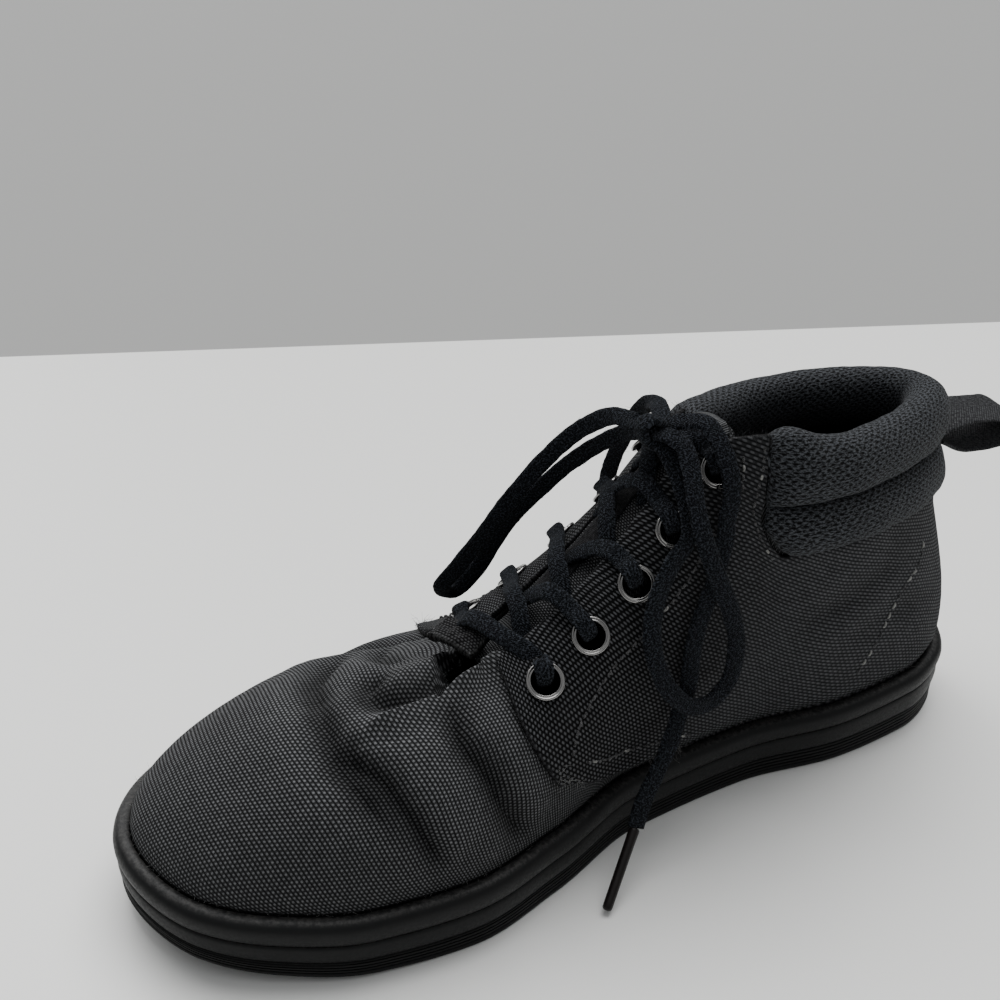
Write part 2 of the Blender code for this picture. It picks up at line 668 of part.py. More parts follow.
def build_crossing(place):
    """One crossing: two straps from the gap out over the facings to the next eyelets."""
    straps = []
    for side, other in (("medial", "lateral"), ("lateral", "medial")):
        turn, v = EYELETS[place + 1]
        below = EYELETS[place][0] + (-0.6 if place == 0 else 1.0)
        start, face_start = over_facing(other, below, 0.99, 2.0)
        end, face_end = over_facing(side, turn - 2.0, 0.985, 2.6)
        eye, face_eye = over_facing(side, turn, v, LACE_LIFT)
        upward = (face_start + face_end) / 2
        middle = (start + end) / 2 + upward
        route = [start, middle, end, past_flange(eye, end, face_eye), eye]
        straps.append(strap_mesh(f"lace_strap_{place + 1}_{side}", route,
                                 [upward, upward, face_end, face_eye, face_eye]))
    if place == 0:
        route, facing = [], []
        for side in ("medial", "lateral"):
            points = [over_facing(side, EYELETS[0][0], EYELETS[0][1], LACE_LIFT),
                      over_facing(side, EYELETS[0][0] - 0.8, 0.985, 2.6)]
            (eye, face), (end, _) = points
            points.insert(1, (past_flange(eye, end, face), face))
            if side == "lateral":
                middle = (route[-1] + points[-1][0]) / 2 + np.array((0, -1.2, 1.6))
                route.append(middle)
                facing.append(facing[-1] + points[-1][1])
                points.reverse()
            route += [point for point, _ in points]
            facing += [face for _, face in points]
        straps.append(strap_mesh("lace_bar", route, facing))
    crossing = add(f"lace_crossing_{place + 1}", straps[0], (0.01, 0.012, 0.015), 0.95)
    for mesh in straps[1:]:
        modify(crossing, "UNION", add_guide(mesh.name + "_guide", mesh))


# routes of the bow's free laces, from the knot outward and back: x, y, z
LACE_LOOP_MEDIAL = (
    (18, 12.2, 121.9), (20.8, 14, 120.2), (24.6, 13.7, 116.4), (30.7, 12.4, 108.1),
    (34.5, 12.5, 101.3), (38.6, 15.4, 90.1), (40.3, 19.6, 80.2), (41.3, 23.1, 70.8),
    (41.7, 24.5, 62.1), (41.7, 23.1, 52), (42.6, 16.6, 47.6), (43.3, 9.5, 48.6), (43, 3.2, 54),
    (41.7, -2.2, 63.4), (39.4, -4.3, 73.2), (36.7, -2.4, 81.8), (34.7, 0.8, 86.9),
    (32.8, 5.8, 92.6), (31.2, 11, 97.8), (29.2, 12, 102.6), (24.6, 12.2, 109.2),
    (19.4, 11.8, 115), (17.2, 11.4, 117),
)
LACE_END_MEDIAL = (
    (14.5, 17.5, 124.5), (19, 22, 125.2), (24.6, 23.4, 120.8), (28.9, 24.5, 113.9),
    (31, 24.5, 107.2), (32.4, 22.7, 101), (33.7, 21.8, 95.5), (34.8, 20, 90.1), (36.5, 17.1, 82),
    (37.9, 13, 74), (38.9, 10.9, 65.1), (39.4, 10.4, 53.4), (39.8, 8.3, 44.8), (43, 3.6, 38.5),
    (45.6, -2.2, 31), (47.3, -7.2, 23.5), (49, -10.5, 16.5),
)
AGLET_MEDIAL = ((49.4, -11.3, 15.4), (60.5, -26.5, 1.8))
LACE_LOOP_LATERAL = (
    (3.5, 9.5, 121.5), (-5, 7.5, 120), (-13, 3, 114), (-18, -3, 106), (-22, -9, 96.5),
    (-27.5, -15.5, 83), (-34, -20.5, 69), (-40, -25, 57), (-44, -27.5, 49), (-45.5, -22, 46),
    (-44.5, -15, 52), (-41, -10, 64), (-36, -6, 75.5), (-29, -1, 87), (-22, 4, 97.5),
    (-13.5, 9, 107), (-5.5, 12, 113.5), (2, 12.5, 117.5),
)
LACE_END_LATERAL = (
    (7.9, 15.7, 120.7), (-3, 22, 121.5), (-14, 26, 117), (-24, 29, 108), (-32, 31, 97), (-38.5, 32, 85),
    (-42.5, 33, 73), (-44.5, 34, 61),
)
AGLET_LATERAL = ((-44.8, 34.2, 60.2), (-46.5, 36.0, 39.5))
LACE_CORE = 1.5           # radius of the plain cord that stands for a free lace
AGLET_RADIUS = 1.5


def build_cord(name, route, radius=LACE_CORE, step=7.0, rough=0.95):
    curve = bpy.data.curves.new(name, "CURVE")
    curve.dimensions = "3D"
    curve.bevel_depth = radius * MM
    curve.bevel_resolution = 2
    curve.use_fill_caps = True
    line = smooth_route(route, step)
    spline = curve.splines.new("POLY")
    spline.points.add(len(line) - 1)
    for point, place in zip(spline.points, line):
        point.co = (*(place * MM), 1.0)
    piece = bpy.data.objects.new(name, curve)
    bpy.context.collection.objects.link(piece)
    curve.materials.append(paint(name + "_material", (0.01, 0.012, 0.015), rough))
    return piece


def build_knot():
    """The bow's knot as one rounded lump over the top of the gap."""
    shape = bmesh.new()
    bmesh.ops.create_icosphere(shape, subdivisions=2, radius=1.0)
    place = Matrix.Translation((11 * MM, 10 * MM, 121.8 * MM))
    lean = Matrix.Rotation(math.radians(-42), 4, "X")
    size = Matrix.Diagonal((6.0 * MM, 5.4 * MM, 4.6 * MM, 1.0))
    bmesh.ops.transform(shape, matrix=place @ lean @ size, verts=shape.verts)
    mesh = bpy.data.meshes.new("lace_knot")
    shape.to_mesh(mesh)
    shape.free()
    return add("lace_knot", mesh, (0.01, 0.012, 0.015), 0.95)


# ---------------------------------------------------------------- the whole boot

def main():
    for leftover in list(bpy.data.objects):
        bpy.data.objects.remove(leftover, do_unlink=True)
    build_sole()
    build_insole()
    upper = build_upper()
    for side in ("medial", "lateral"):
        quarter = build_quarter(side)
        build_eyelets(side)
        cut_eyelet_holes(side, (quarter, upper))
    build_collar()
    build_tongue()
    build_backstay()
    build_pull_loop()
    for place in range(len(EYELETS) - 1):
        build_crossing(place)
    build_knot()
    build_cord("lace_loop_medial", LACE_LOOP_MEDIAL)
    build_cord("lace_end_medial", LACE_END_MEDIAL)
    build_cord("lace_loop_lateral", LACE_LOOP_LATERAL)
    build_cord("lace_end_lateral", LACE_END_LATERAL)
    build_cord("aglet_medial", AGLET_MEDIAL, AGLET_RADIUS, rough=0.4)
    build_cord("aglet_lateral", AGLET_LATERAL, AGLET_RADIUS, rough=0.4)


main()
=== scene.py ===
import json
import math

import bpy
import numpy as np
from mathutils import Matrix, Vector, noise as mathNoise

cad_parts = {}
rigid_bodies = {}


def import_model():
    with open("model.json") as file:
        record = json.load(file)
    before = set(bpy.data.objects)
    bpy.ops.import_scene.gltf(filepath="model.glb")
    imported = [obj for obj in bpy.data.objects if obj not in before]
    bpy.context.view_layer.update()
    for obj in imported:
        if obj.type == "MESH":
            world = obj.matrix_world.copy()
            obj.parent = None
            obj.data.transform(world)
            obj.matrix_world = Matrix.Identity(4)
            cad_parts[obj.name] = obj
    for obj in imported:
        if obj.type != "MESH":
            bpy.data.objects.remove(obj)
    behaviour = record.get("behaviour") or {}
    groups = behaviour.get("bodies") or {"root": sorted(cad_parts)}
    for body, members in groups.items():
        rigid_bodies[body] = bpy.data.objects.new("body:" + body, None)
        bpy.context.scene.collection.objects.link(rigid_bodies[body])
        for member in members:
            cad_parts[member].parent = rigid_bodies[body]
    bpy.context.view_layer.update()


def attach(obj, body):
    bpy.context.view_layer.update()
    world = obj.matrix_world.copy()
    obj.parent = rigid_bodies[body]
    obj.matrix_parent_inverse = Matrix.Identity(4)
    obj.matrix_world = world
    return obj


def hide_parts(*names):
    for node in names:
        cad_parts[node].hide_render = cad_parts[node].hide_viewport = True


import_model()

mm = 0.001  # tables are in millimetres, the scene in metres
random = np.random.default_rng(7)

print("camera, floor and lights")

cameraSetup = {
    "place": (269.0, -183.7, 266.7), "turn": 60.5, "tilt": 27.8, "roll": 2.2, "lens": 45.36, "sensor": 36.0,
}
studio = {
    "floor": ((0.89, 0.89, 0.87), 0.4), "backdrop": ((0.3, 0.3, 0.295), 0.8),  # tone and roughness
    "backLine": ((-438.7, -107.0), (-252.0, 476.4)), "reach": 4000.0,  # where the floor meets the backdrop
    "worldTone": (0.13, 0.6),  # from the level to straight up
    "suns": (("lightAbove", (-0.45, 0.3, 1.1), 55.0, 3.2), ("lightSide", (-1.0, -0.2, 0.6), 40.0, 1.0)),
}


def makeCamera():
    turn, tilt, roll = (math.radians(cameraSetup[key]) for key in ("turn", "tilt", "roll"))
    right = Vector((math.cos(turn), math.sin(turn), 0))
    back = Vector((math.sin(turn) * math.cos(tilt), -math.cos(turn) * math.cos(tilt), math.sin(tilt)))
    above = back.cross(right)
    across = right * math.cos(roll) + above * math.sin(roll)
    upward = above * math.cos(roll) - right * math.sin(roll)
    view = bpy.data.cameras.new("view")
    view.lens, view.sensor_width = cameraSetup["lens"], cameraSetup["sensor"]
    view.clip_start, view.clip_end = 0.02, 20
    camera = bpy.data.objects.new("camera", view)
    bpy.context.collection.objects.link(camera)
    place = Vector(cameraSetup["place"]) * mm
    rows = [(across[k], upward[k], back[k], place[k]) for k in range(3)]
    camera.matrix_world = Matrix(rows + [(0, 0, 0, 1)])
    bpy.context.scene.camera = camera


makeCamera()

print("nodes and materials")


def feed(socket, value):
    value = getattr(value, "socket", value)
    if isinstance(value, bpy.types.NodeSocket):
        socket.id_data.links.new(value, socket)
    else:
        socket.default_value = value


class Signal:  # a shader value that takes plain arithmetic
    def __init__(self, tree, socket):
        self.tree, self.socket = tree, socket

    def node(self, kind, inputs, output=0, **settings):
        node = self.tree.nodes.new("ShaderNode" + kind)
        for key, value in settings.items():
            setattr(node, key, value)
        for key, value in inputs.items():
            feed(node.inputs[key], value)
        return Signal(self.tree, node.outputs[output])

    def maths(self, operation, *others):
        return self.node("Math", dict(enumerate((self,) + others)), operation=operation)

    def vector(self, operation, other):
        second = 3 if operation == "SCALE" else 1
        return self.node("VectorMath", {0: self, second: other}, operation=operation)

    def between(self, low, high, start=0.0, end=1.0):
        values = (self, low, high, start, end)
        return self.node("MapRange", dict(enumerate(values)), interpolation_type="SMOOTHSTEP")

    def mix(self, low, high):
        return self.node("Mix", {0: self, 6: low, 7: high}, 2, data_type="RGBA")

    def noise(self, scale, detail=2.0, roughness=0.5, output="Fac"):
        inputs = {"Vector": self, "Scale": scale, "Detail": detail, "Roughness": roughness}
        return self.node("TexNoise", inputs, output)

    def split(self):
        first = self.node("SeparateXYZ", {0: self})
        return [Signal(self.tree, socket) for socket in first.socket.node.outputs]

    def __add__(self, other):
        return self.maths("ADD", other)

    def __sub__(self, other):
        return self.maths("SUBTRACT", other)

    def __rsub__(self, other):
        return self.node("Math", {0: other, 1: self}, operation="SUBTRACT")

    def __mul__(self, other):
        return self.maths("MULTIPLY", other)

    def __truediv__(self, other):
        return self.maths("DIVIDE", other)

    def __pow__(self, other):
        return self.maths("POWER", other)

    def __abs__(self):
        return self.maths("ABSOLUTE")


def give(sockets, **values):
    for key, value in values.items():
        feed(sockets[key.replace("_", " ")], value)


def newGroup(name, takes, gives):
    tree = bpy.data.node_groups.new(name, "ShaderNodeTree")
    for key, start in takes.items():
        kind = "Vector" if start is None else "Color" if isinstance(start, tuple) else "Float"
        socket = tree.interface.new_socket(name=key, in_out="INPUT", socket_type="NodeSocket" + kind)
        if start is not None:
            socket.default_value = start
    for key in gives:
        kind = "Color" if key == "Colour" else "Float"
        tree.interface.new_socket(name=key, in_out="OUTPUT", socket_type="NodeSocket" + kind)
    given = tree.nodes.new("NodeGroupInput").outputs
    out = tree.nodes.new("NodeGroupOutput").inputs
    return tree, {key: Signal(tree, given[key]) for key in takes}, out


def weaveGroup():
    tree, given, out = newGroup("basketWeave", {
        "Place": None, "PitchU": 1.24, "PitchV": 1.0,
        "Dark": (0.01, 0.01, 0.011, 1), "Light": (0.05, 0.051, 0.055, 1),
        "Unevenness": 0.35, "Under": 0.3,
    }, ("Colour", "Height"))
    drift = given["Place"].noise(0.07, 1.0, output="Color")  # threads wander a little
    wander = drift.vector("SUBTRACT", (0.5, 0.5, 0.5)).vector("MULTIPLY", (0.7, 0.7, 0.0))
    placed = given["Place"].vector("ADD", wander)
    u, v, _ = placed.split()
    v = v / given["PitchV"]
    rib = v.maths("FLOOR")
    u = u / given["PitchU"] + rib.maths("FLOORED_MODULO", 2.0) * 0.5  # every other rib is half a step on
    partU = abs(u.maths("FRACT") - 0.5)
    crown = ((v.maths("FRACT") - 0.5) * math.pi).maths("COSINE") ** 0.8
    bow = 1.0 - (partU * 2.25) ** 2.3
    height = crown * bow.maths("MAXIMUM", 0.0)
    cell = u.node("CombineXYZ", {0: u.maths("FLOOR"), 1: rib})
    chance = cell.node("TexWhiteNoise", {"Vector": cell}, "Value")
    fibre = placed.noise(5.0)
    # painted sheen and shade: the weave's pattern is the cloth's own, but its tones are painted: the threads'
    # crowns take the light tone as painted sheen, the pits between them the dark tone as painted shade, and
    # the under cells are dimmed to Under as painted sheen
    shade = height.between(0.38, 0.98).maths("MAXIMUM", crown * given["Under"])
    shade = shade * (fibre * 0.5 + 0.72 + (chance - 0.5) * given["Unevenness"])
    give(out, Colour=shade.mix(given["Dark"], given["Light"]), Height=height + fibre * 0.15)
    return tree


def spacerGroup():
    tree, given, out = newGroup("spacerMesh", {
        "Place": None, "Along": 3.4, "Row": 1.2,
        "Dark": (0.004, 0.004, 0.005, 1), "Light": (0.05, 0.052, 0.057, 1),
    }, ("Colour", "Height"))
    x, y, _ = given["Place"].split()
    v = y / given["Row"]
    u = x / given["Along"] + v.maths("FLOOR").maths("FLOORED_MODULO", 2.0) * 0.5
    partU = (u.maths("FRACT") - 0.5) * given["Along"]
    partV = (v.maths("FRACT") - 0.5) * given["Row"]
    far = ((partU / 0.85) ** 2.0 + (partV / 0.34) ** 2.0).maths("SQRT")
    yarn = given["Place"].noise(5.0, 3.0, 0.6)
    hole = (far + yarn * 0.5).between(0.85, 1.55, 1.0, 0.0)
    loops = ((x + y) * 9.0).maths("SINE")
    flecks = given["Place"].vector("MULTIPLY", (0.55, 1.25, 1.0)).noise(1.7, 2.0, 0.65)
    lit = (loops * 0.06 + flecks.between(0.4, 0.62, 0.06, 1.0)).mix(given["Dark"], given["Light"])
    give(out, Colour=hole.mix(lit, given["Dark"]), Height=yarn * 0.3 - hole)
    return tree


def twillGroup():
    tree, given, out = newGroup("twillThread", {
        "Place": None, "Pitch": 0.9, "Slant": 1.0, "Speck": 0.1, "Loose": 0.0,
        "Dark": (0.003, 0.003, 0.004, 1), "Light": (0.03, 0.032, 0.035, 1),
    }, ("Colour", "Height"))
    x, y, _ = given["Place"].split()
    fold = abs(y)
    rib = abs(((x + fold * given["Slant"]) / given["Pitch"] * math.pi).maths("SINE"))
    cross = abs(((x - fold) / given["Pitch"] * math.pi).maths("SINE"))
    fuzz = given["Place"].noise(2.2, 4.0, 0.75)
    height = rib * (cross * 0.35 + 0.65) + fuzz * 1.3
    grain = x.node("TexVoronoi", {"Vector": given["Place"], "Scale": 1.3}, "Distance")
    speck = grain.between(0.1, 0.24, given["Speck"], 0.0)
    blotch = given["Place"].noise(0.9, 3.0, 0.7).between(0.32, 0.68, 0.15, 1.1)
    loose = given["Place"].noise(1.7, 2.0, 0.55).between(0.42, 0.66)
    shade = (height - 0.5) * blotch * (1.0 - given["Loose"])
    shade = shade.maths("MAXIMUM", loose * given["Loose"]) + speck
    give(out, Colour=shade.mix(given["Dark"], given["Light"]), Height=height)
    return tree


def dustGroup():
    tree, given, out = newGroup("dust", {"Place": None, "Amount": 0.3, "Scale": 0.08}, ("Mask", "Grain"))
    placed = given["Place"].vector("SCALE", given["Scale"])
    grain = placed.noise(26.0, 3.0, 0.6)
    patch = placed.noise(1.0, 4.0, 0.6).between(0.48, 0.72)
    give(out, Mask=(grain.between(0.56, 0.74) * 0.7 + patch * 0.35) * given["Amount"], Grain=grain)
    return tree


def edgeGroup():
    tree, given, out = newGroup("edgeWear", {"Distance": 9.0, "Reach": 1.2, "Place": None}, ("Mask",))
    broken = given["Place"].noise(0.8, 4.0, 0.7).between(0.35, 0.7)
    give(out, Mask=given["Distance"].between(0.0, given["Reach"], 1.0, 0.0) * broken)
    return tree


weave, spacer, twill, dust, edgeWear = weaveGroup(), spacerGroup(), twillGroup(), dustGroup(), edgeGroup()


def newMaterial(name, rough, **constants):
    material = bpy.data.materials.new(name)
    material.use_nodes = True
    shader = material.node_tree.nodes["Principled BSDF"].inputs
    give(shader, Roughness=rough, **constants)
    return material, material.node_tree, shader


def readAttribute(tree, name, output="Vector"):
    node = tree.nodes.new("ShaderNodeAttribute")
    node.attribute_name = name
    return Signal(tree, node.outputs[output])


def objectPlace(tree):  # in millimetres
    place = Signal(tree, tree.nodes.new("ShaderNodeTexCoord").outputs["Object"])
    return place.vector("MULTIPLY", (1 / mm, 1 / mm, 1 / mm))


def useGroup(tree, group, **values):
    node = tree.nodes.new("ShaderNodeGroup")
    node.node_tree = group
    give(node.inputs, **values)
    return {socket.name: Signal(tree, socket) for socket in node.outputs}


def bumped(shader, height, strength, depth):
    inputs = {"Height": height, "Strength": strength, "Distance": depth * mm}
    feed(shader["Normal"], height.node("Bump", inputs))


def clothMaterial(name, look):
    material, tree, shader = newMaterial(name, 0.8, Sheen_Weight=look["sheen"], Sheen_Roughness=0.45,
                                         Specular_IOR_Level=0.1)
    place, edge = readAttribute(tree, "fabric"), readAttribute(tree, "edge", "Fac")
    # painted shade: the under cells' tone runs from the first to the second 'under' value between 50 and 105
    # mm along the cloth, so the quarter's front is darker and its rear lighter as painted shade
    under = place.split()[0].between(50.0, 105.0, *look["under"])
    pitchU, pitchV = look["pitch"]
    woven = useGroup(tree, weave, Place=place, PitchU=pitchU, PitchV=pitchV, Dark=look["dark"],
                     Light=look["light"], Unevenness=look["uneven"], Under=under)
    dusty = useGroup(tree, dust, Place=place, Amount=look["dust"], Scale=0.06)
    worn = useGroup(tree, edgeWear, Distance=edge, Reach=look["edgeReach"], Place=place)
    colour = worn["Mask"].mix(woven["Colour"], look["edgeTone"])
    colour = dusty["Mask"].mix(colour, look["dustTone"])
    # painted shade and highlight: the crease lift darkens the colour in the troughs as painted shade and
    # lightens it on the ridges, partly as wear and partly as painted highlight
    creaseShadeRidgeWearAndHighlight = readAttribute(tree, "fold", "Fac").between(-3.2, 2.2, look["trough"], look["ridge"])
    # painted shadow: the colour also darkens to a tenth within 0.6 mm of a piece's edges (the quarters',
    # tongue's and tab's borders, the upper just above the sole's lip), a painted shadow line along seams and
    # joins
    colour = colour.vector("SCALE", creaseShadeRidgeWearAndHighlight * edge.between(0.0, 0.6, 0.1, 1.0))
    give(shader, Base_Color=colour, Roughness=woven["Height"].between(0.2, 1.1, 0.95, look["rough"]))
    bumped(shader, woven["Height"], look["bump"], 0.3)
    return material


clothLook = {
    "pitch": (1.19, 1.1), "dark": (0.0004, 0.0004, 0.0005, 1), "light": (0.118, 0.1205, 0.125, 1),
    "uneven": 0.35, "under": (0.24, 0.24), "dust": 0.08, "dustTone": (0.07, 0.07, 0.07, 1),
    "edgeTone": (0.1, 0.1, 0.105, 1), "edgeReach": 0.8, "rough": 0.7, "bump": 1.0, "sheen": 0.012,
    "trough": 0.46, "ridge": 1.4,  # painted shade in the creases' bottoms; on their ridges a lighter tone, partly wear and partly painted highlight
}
vampCloth = clothMaterial("ballisticVamp", clothLook)
quarterCloth = clothMaterial("ballisticQuarter", {
    # the quarter's under cells darken towards its front as painted shade
    **clothLook, "pitch": (2.0, 1.05), "light": (0.078, 0.08, 0.085, 1), "under": (0.04, 0.5),
})
tongueCloth = clothMaterial("tongueWoven", {**clothLook, "pitch": (0.7, 0.7)})
tabCloth = clothMaterial("tongueTabWoven", {
    **clothLook, "pitch": (1.1, 0.8), "light": (0.05, 0.05, 0.052, 1), "edgeTone": (0.13, 0.13, 0.13, 1),
    "edgeReach": 1.2,
})


def meshMaterial():
    material, tree, shader = newMaterial("collarSpacerMesh", 0.85, Sheen_Weight=0.04, Sheen_Roughness=0.5,
                                         Specular_IOR_Level=0.08)
    place = readAttribute(tree, "fabric")
    knit = useGroup(tree, spacer, Place=place, Along=3.4, Row=1.2, Dark=(0.0006, 0.0006, 0.0008, 1),
                    Light=(0.068, 0.073, 0.081, 1))
    dusty = useGroup(tree, dust, Place=place, Amount=0.08, Scale=0.08)
    give(shader, Base_Color=dusty["Mask"].mix(knit["Colour"], (0.12, 0.12, 0.12, 1)))
    bumped(shader, knit["Height"], 0.85, 0.3)
    return material


def threadMaterial(name, pitch, slant, dark, light, speck, bump, sheen=0.05, loose=0.0):
    material, tree, shader = newMaterial(name, 0.9, Sheen_Weight=sheen, Sheen_Roughness=0.5,
                                         Specular_IOR_Level=0.04)
    spun = useGroup(tree, twill, Place=readAttribute(tree, "fabric"), Pitch=pitch, Slant=slant, Speck=speck,
                    Dark=dark + (1,), Light=light + (1,), Loose=loose)
    give(shader, Base_Color=spun["Colour"])
    bumped(shader, spun["Height"], bump, 0.25)
    return material


def rubberMaterial():
    rough = 0.46
    material, tree, shader = newMaterial("rubber", rough, Specular_IOR_Level=0.2)
    place = objectPlace(tree)
    dusty = useGroup(tree, dust, Place=place, Amount=0.05, Scale=0.05)
    ledge = useGroup(tree, edgeWear, Distance=readAttribute(tree, "edge", "Fac"), Reach=0.9, Place=place)
    colour = place.noise(0.03, 3.0).mix((0.0035, 0.0038, 0.004, 1), (0.0052, 0.0055, 0.0057, 1))
    colour = (ledge["Mask"] * 0.25).mix(colour, (0.12, 0.115, 0.11, 1))
    give(shader, Base_Color=dusty["Mask"].mix(colour, (0.06, 0.058, 0.055, 1)),
         Roughness=dusty["Grain"].between(0.3, 0.7, rough - 0.06, rough + 0.14))
    bumped(shader, dusty["Grain"], 0.25, 0.08)
    return material


def metalMaterial():
    material, tree, shader = newMaterial("darkNickel", 0.2, Metallic=1.0)
    dusty = useGroup(tree, dust, Place=objectPlace(tree), Amount=0.45, Scale=0.3)
    give(shader, Base_Color=dusty["Mask"].mix((0.26, 0.255, 0.25, 1), (0.06, 0.058, 0.055, 1)),
         Roughness=dusty["Grain"].between(0.3, 0.7, 0.08, 0.24))
    return material


def filmMaterial():
    material, tree, shader = newMaterial("agletFilm", 0.4, Coat_Weight=0.08, Coat_Roughness=0.25,
                                         Specular_IOR_Level=0.2)
    dusty = useGroup(tree, dust, Place=objectPlace(tree), Amount=0.4, Scale=0.4)
    give(shader, Base_Color=dusty["Mask"].mix((0.008, 0.006, 0.0055, 1), (0.03, 0.026, 0.023, 1)))
    bumped(shader, dusty["Grain"], 0.3, 0.05)
    return material


collarMesh, rubber, darkNickel, agletFilm = meshMaterial(), rubberMaterial(), metalMaterial(), filmMaterial()
# pitch, slant, dark and light tones, specks, bump, sheen and share of loose fibre
threadLooks = {
    "laceCotton": (0.8, 0.9, (0.0003, 0.0004, 0.0006), (0.044, 0.05, 0.061), 0.02, 1.0, 0.02, 0.8),
    "webbing": (1.1, 1.0, (0.0008, 0.0008, 0.001), (0.11, 0.112, 0.118), 0.15, 1.0, 0.02, 0.3),
    "labelRibbon": (0.5, 0.1, (0.002, 0.002, 0.0025), (0.03, 0.03, 0.032), 0.05, 0.6),
    "liningKnit": (0.7, 0.6, (0.0008, 0.0008, 0.001), (0.009, 0.0095, 0.0105), 0.1, 0.7),
    "footbedCloth": (0.8, 0.8, (0.0015, 0.0015, 0.002), (0.016, 0.0165, 0.018), 0.1, 0.6),
    "threadGrey": (0.5, 1.0, (0.016, 0.016, 0.0165), (0.135, 0.135, 0.138), 0.1, 0.5),
    "threadPale": (0.3, 1.0, (0.16, 0.16, 0.155), (0.42, 0.42, 0.4), 0.1, 0.5),
    "lintFibre": (0.3, 1.0, (0.1, 0.1, 0.098), (0.32, 0.32, 0.31), 0.1, 0.2),
    "darkFibre": (0.3, 1.0, (0.008, 0.008, 0.009), (0.05, 0.05, 0.054), 0.1, 0.2),
}
threads = {name: threadMaterial(name, *look) for name, look in threadLooks.items()}


def floorMaterial(name, tone, rough):
    material, tree, shader = newMaterial(name, rough, Specular_IOR_Level=0.4)
    place = Signal(tree, tree.nodes.new("ShaderNodeTexCoord").outputs["Object"])
    darker = tuple(part * 0.985 for part in tone) + (1,)
    give(shader, Base_Color=place.noise(3.0).mix(tone + (1,), darker))
    return material


def makeStudio():
    first, last = (np.array(spot) for spot in studio["backLine"])
    beside = (last - first) / np.linalg.norm(last - first)
    away = np.array((-beside[1], beside[0]))
    reach = studio["reach"]
    for name, near, far in (("floor", -reach, 0.0), ("backdrop", 0.0, reach)):
        corners = [first + away * a + beside * b
                   for a, b in ((near, -reach), (near, reach), (far, reach), (far, -reach))]
        mesh = bpy.data.meshes.new(name)
        mesh.from_pydata([(x * mm, y * mm, 0) for x, y in corners], [], [(0, 1, 2, 3)])
        plane = bpy.data.objects.new(name, mesh)
        mesh.materials.append(floorMaterial(name + "Tone", *studio[name]))
        bpy.context.collection.objects.link(plane)
    world = bpy.data.worlds.new("studio")
    world.use_nodes = True
    tree = world.node_tree
    upward = Signal(tree, tree.nodes.new("ShaderNodeTexCoord").outputs["Generated"]).split()[2]
    give(tree.nodes["Background"].inputs, Color=(0.97, 0.985, 1.0, 1),
         Strength=upward.between(0.0, 1.0, *studio["worldTone"]))
    bpy.context.scene.world = world
    for name, way, spread, power in studio["suns"]:
        light = bpy.data.lights.new(name, "SUN")
        light.energy, light.angle = power, math.radians(spread)
        lamp = bpy.data.objects.new(name, light)
        lamp.rotation_euler = (-Vector(way)).to_track_quat("-Z", "Y").to_euler()
        bpy.context.collection.objects.link(lamp)


makeStudio()

print("shape of the last")

soleLength = 290.0
lipInset = 4.1
cupFloor = 9.0
wallThick = 2.0
quarterThick = 1.2
touch = 0.3  # clearance between layers
bothSides = ("medial", "lateral")

planWidths = {
    "station": (0.0, 0.05, 0.12, 0.22, 0.35, 0.50, 0.62, 0.72, 0.82, 0.90, 0.96, 1.0),
    "medial": (0.0, 27.1, 35.1, 37.1, 32.7, 35.6, 47.4, 54.2, 51.6, 43.0, 30.7, 0.0),
    "lateral": (0.0, 28.0, 35.0, 37.0, 36.5, 43.0, 50.0, 52.0, 49.0, 40.0, 27.0, 0.0),
}
lipLevels = {"station": (0.0, 0.35, 0.70, 1.0), "height": (22.9, 20.7, 20.2, 16.4)}
# turn round the sole, upper end x y z, the way it faces, reach of the handles: out, up, reach, down
medialSections = (
    (0, 9, -46, 63.5, 0, 2, 13, 40, 1), (30, 14, -45.5, 64, 38, 3, 15, 34, 2),
    (60, 19, -42, 65, 78, 4, 19, 22, 5), (72, 20, -34, 70, 90, 4, 22, 18, 5),
    (82, 19, -19, 78.5, 90, 5, 28, 18, 4), (90, 18, -7, 88, 90, 8, 34, 18, 3),
    (98, 16, 7, 101, 90, 9, 40, 18, 4), (106, 15, 23, 116, 92, 9, 44, 17, 5),
    (112, 26, 40, 121.5, 94, 8, 40, 9, 25), (122, 31, 56, 118.5, 100, 4, 34, 4, 28),
    (138, 28, 78, 116.5, 118, 3, 32, 2, 28), (152, 21, 99, 115.5, 138, 3, 30, 0, 28),
    (166, 12, 117, 115.3, 160, 4, 30, -2, 29), (180, 1, 124.5, 114.8, 180, 4, 30, -2, 30),
)
lateralSections = (
    (30, 5, -45.5, 64, 38, 3, 14, 34, 4), (60, 1, -42, 65, 78, 4, 16, 24, 8),
    (72, 1, -33, 70, 90, 4, 18, 22, 9), (82, 1, -19, 79.5, 90, 3, 22, 22, 9),
    (90, 0, -7, 88.5, 90, 1, 28, 22, 9), (98, -1, 7, 101, 90, 1, 34, 20, 9),
    (106, -2, 22, 113, 92, 2, 40, 17, 9), (112, -12, 40, 113.5, 94, 3, 38, 9, 24),
    (122, -21, 58, 111.5, 100, 3, 34, 4, 26), (138, -26, 82, 110.6, 118, 3, 32, 2, 28),
    (152, -21, 104, 112, 138, 3, 30, 0, 28), (166, -11, 119, 114, 160, 4, 30, -2, 29),
)


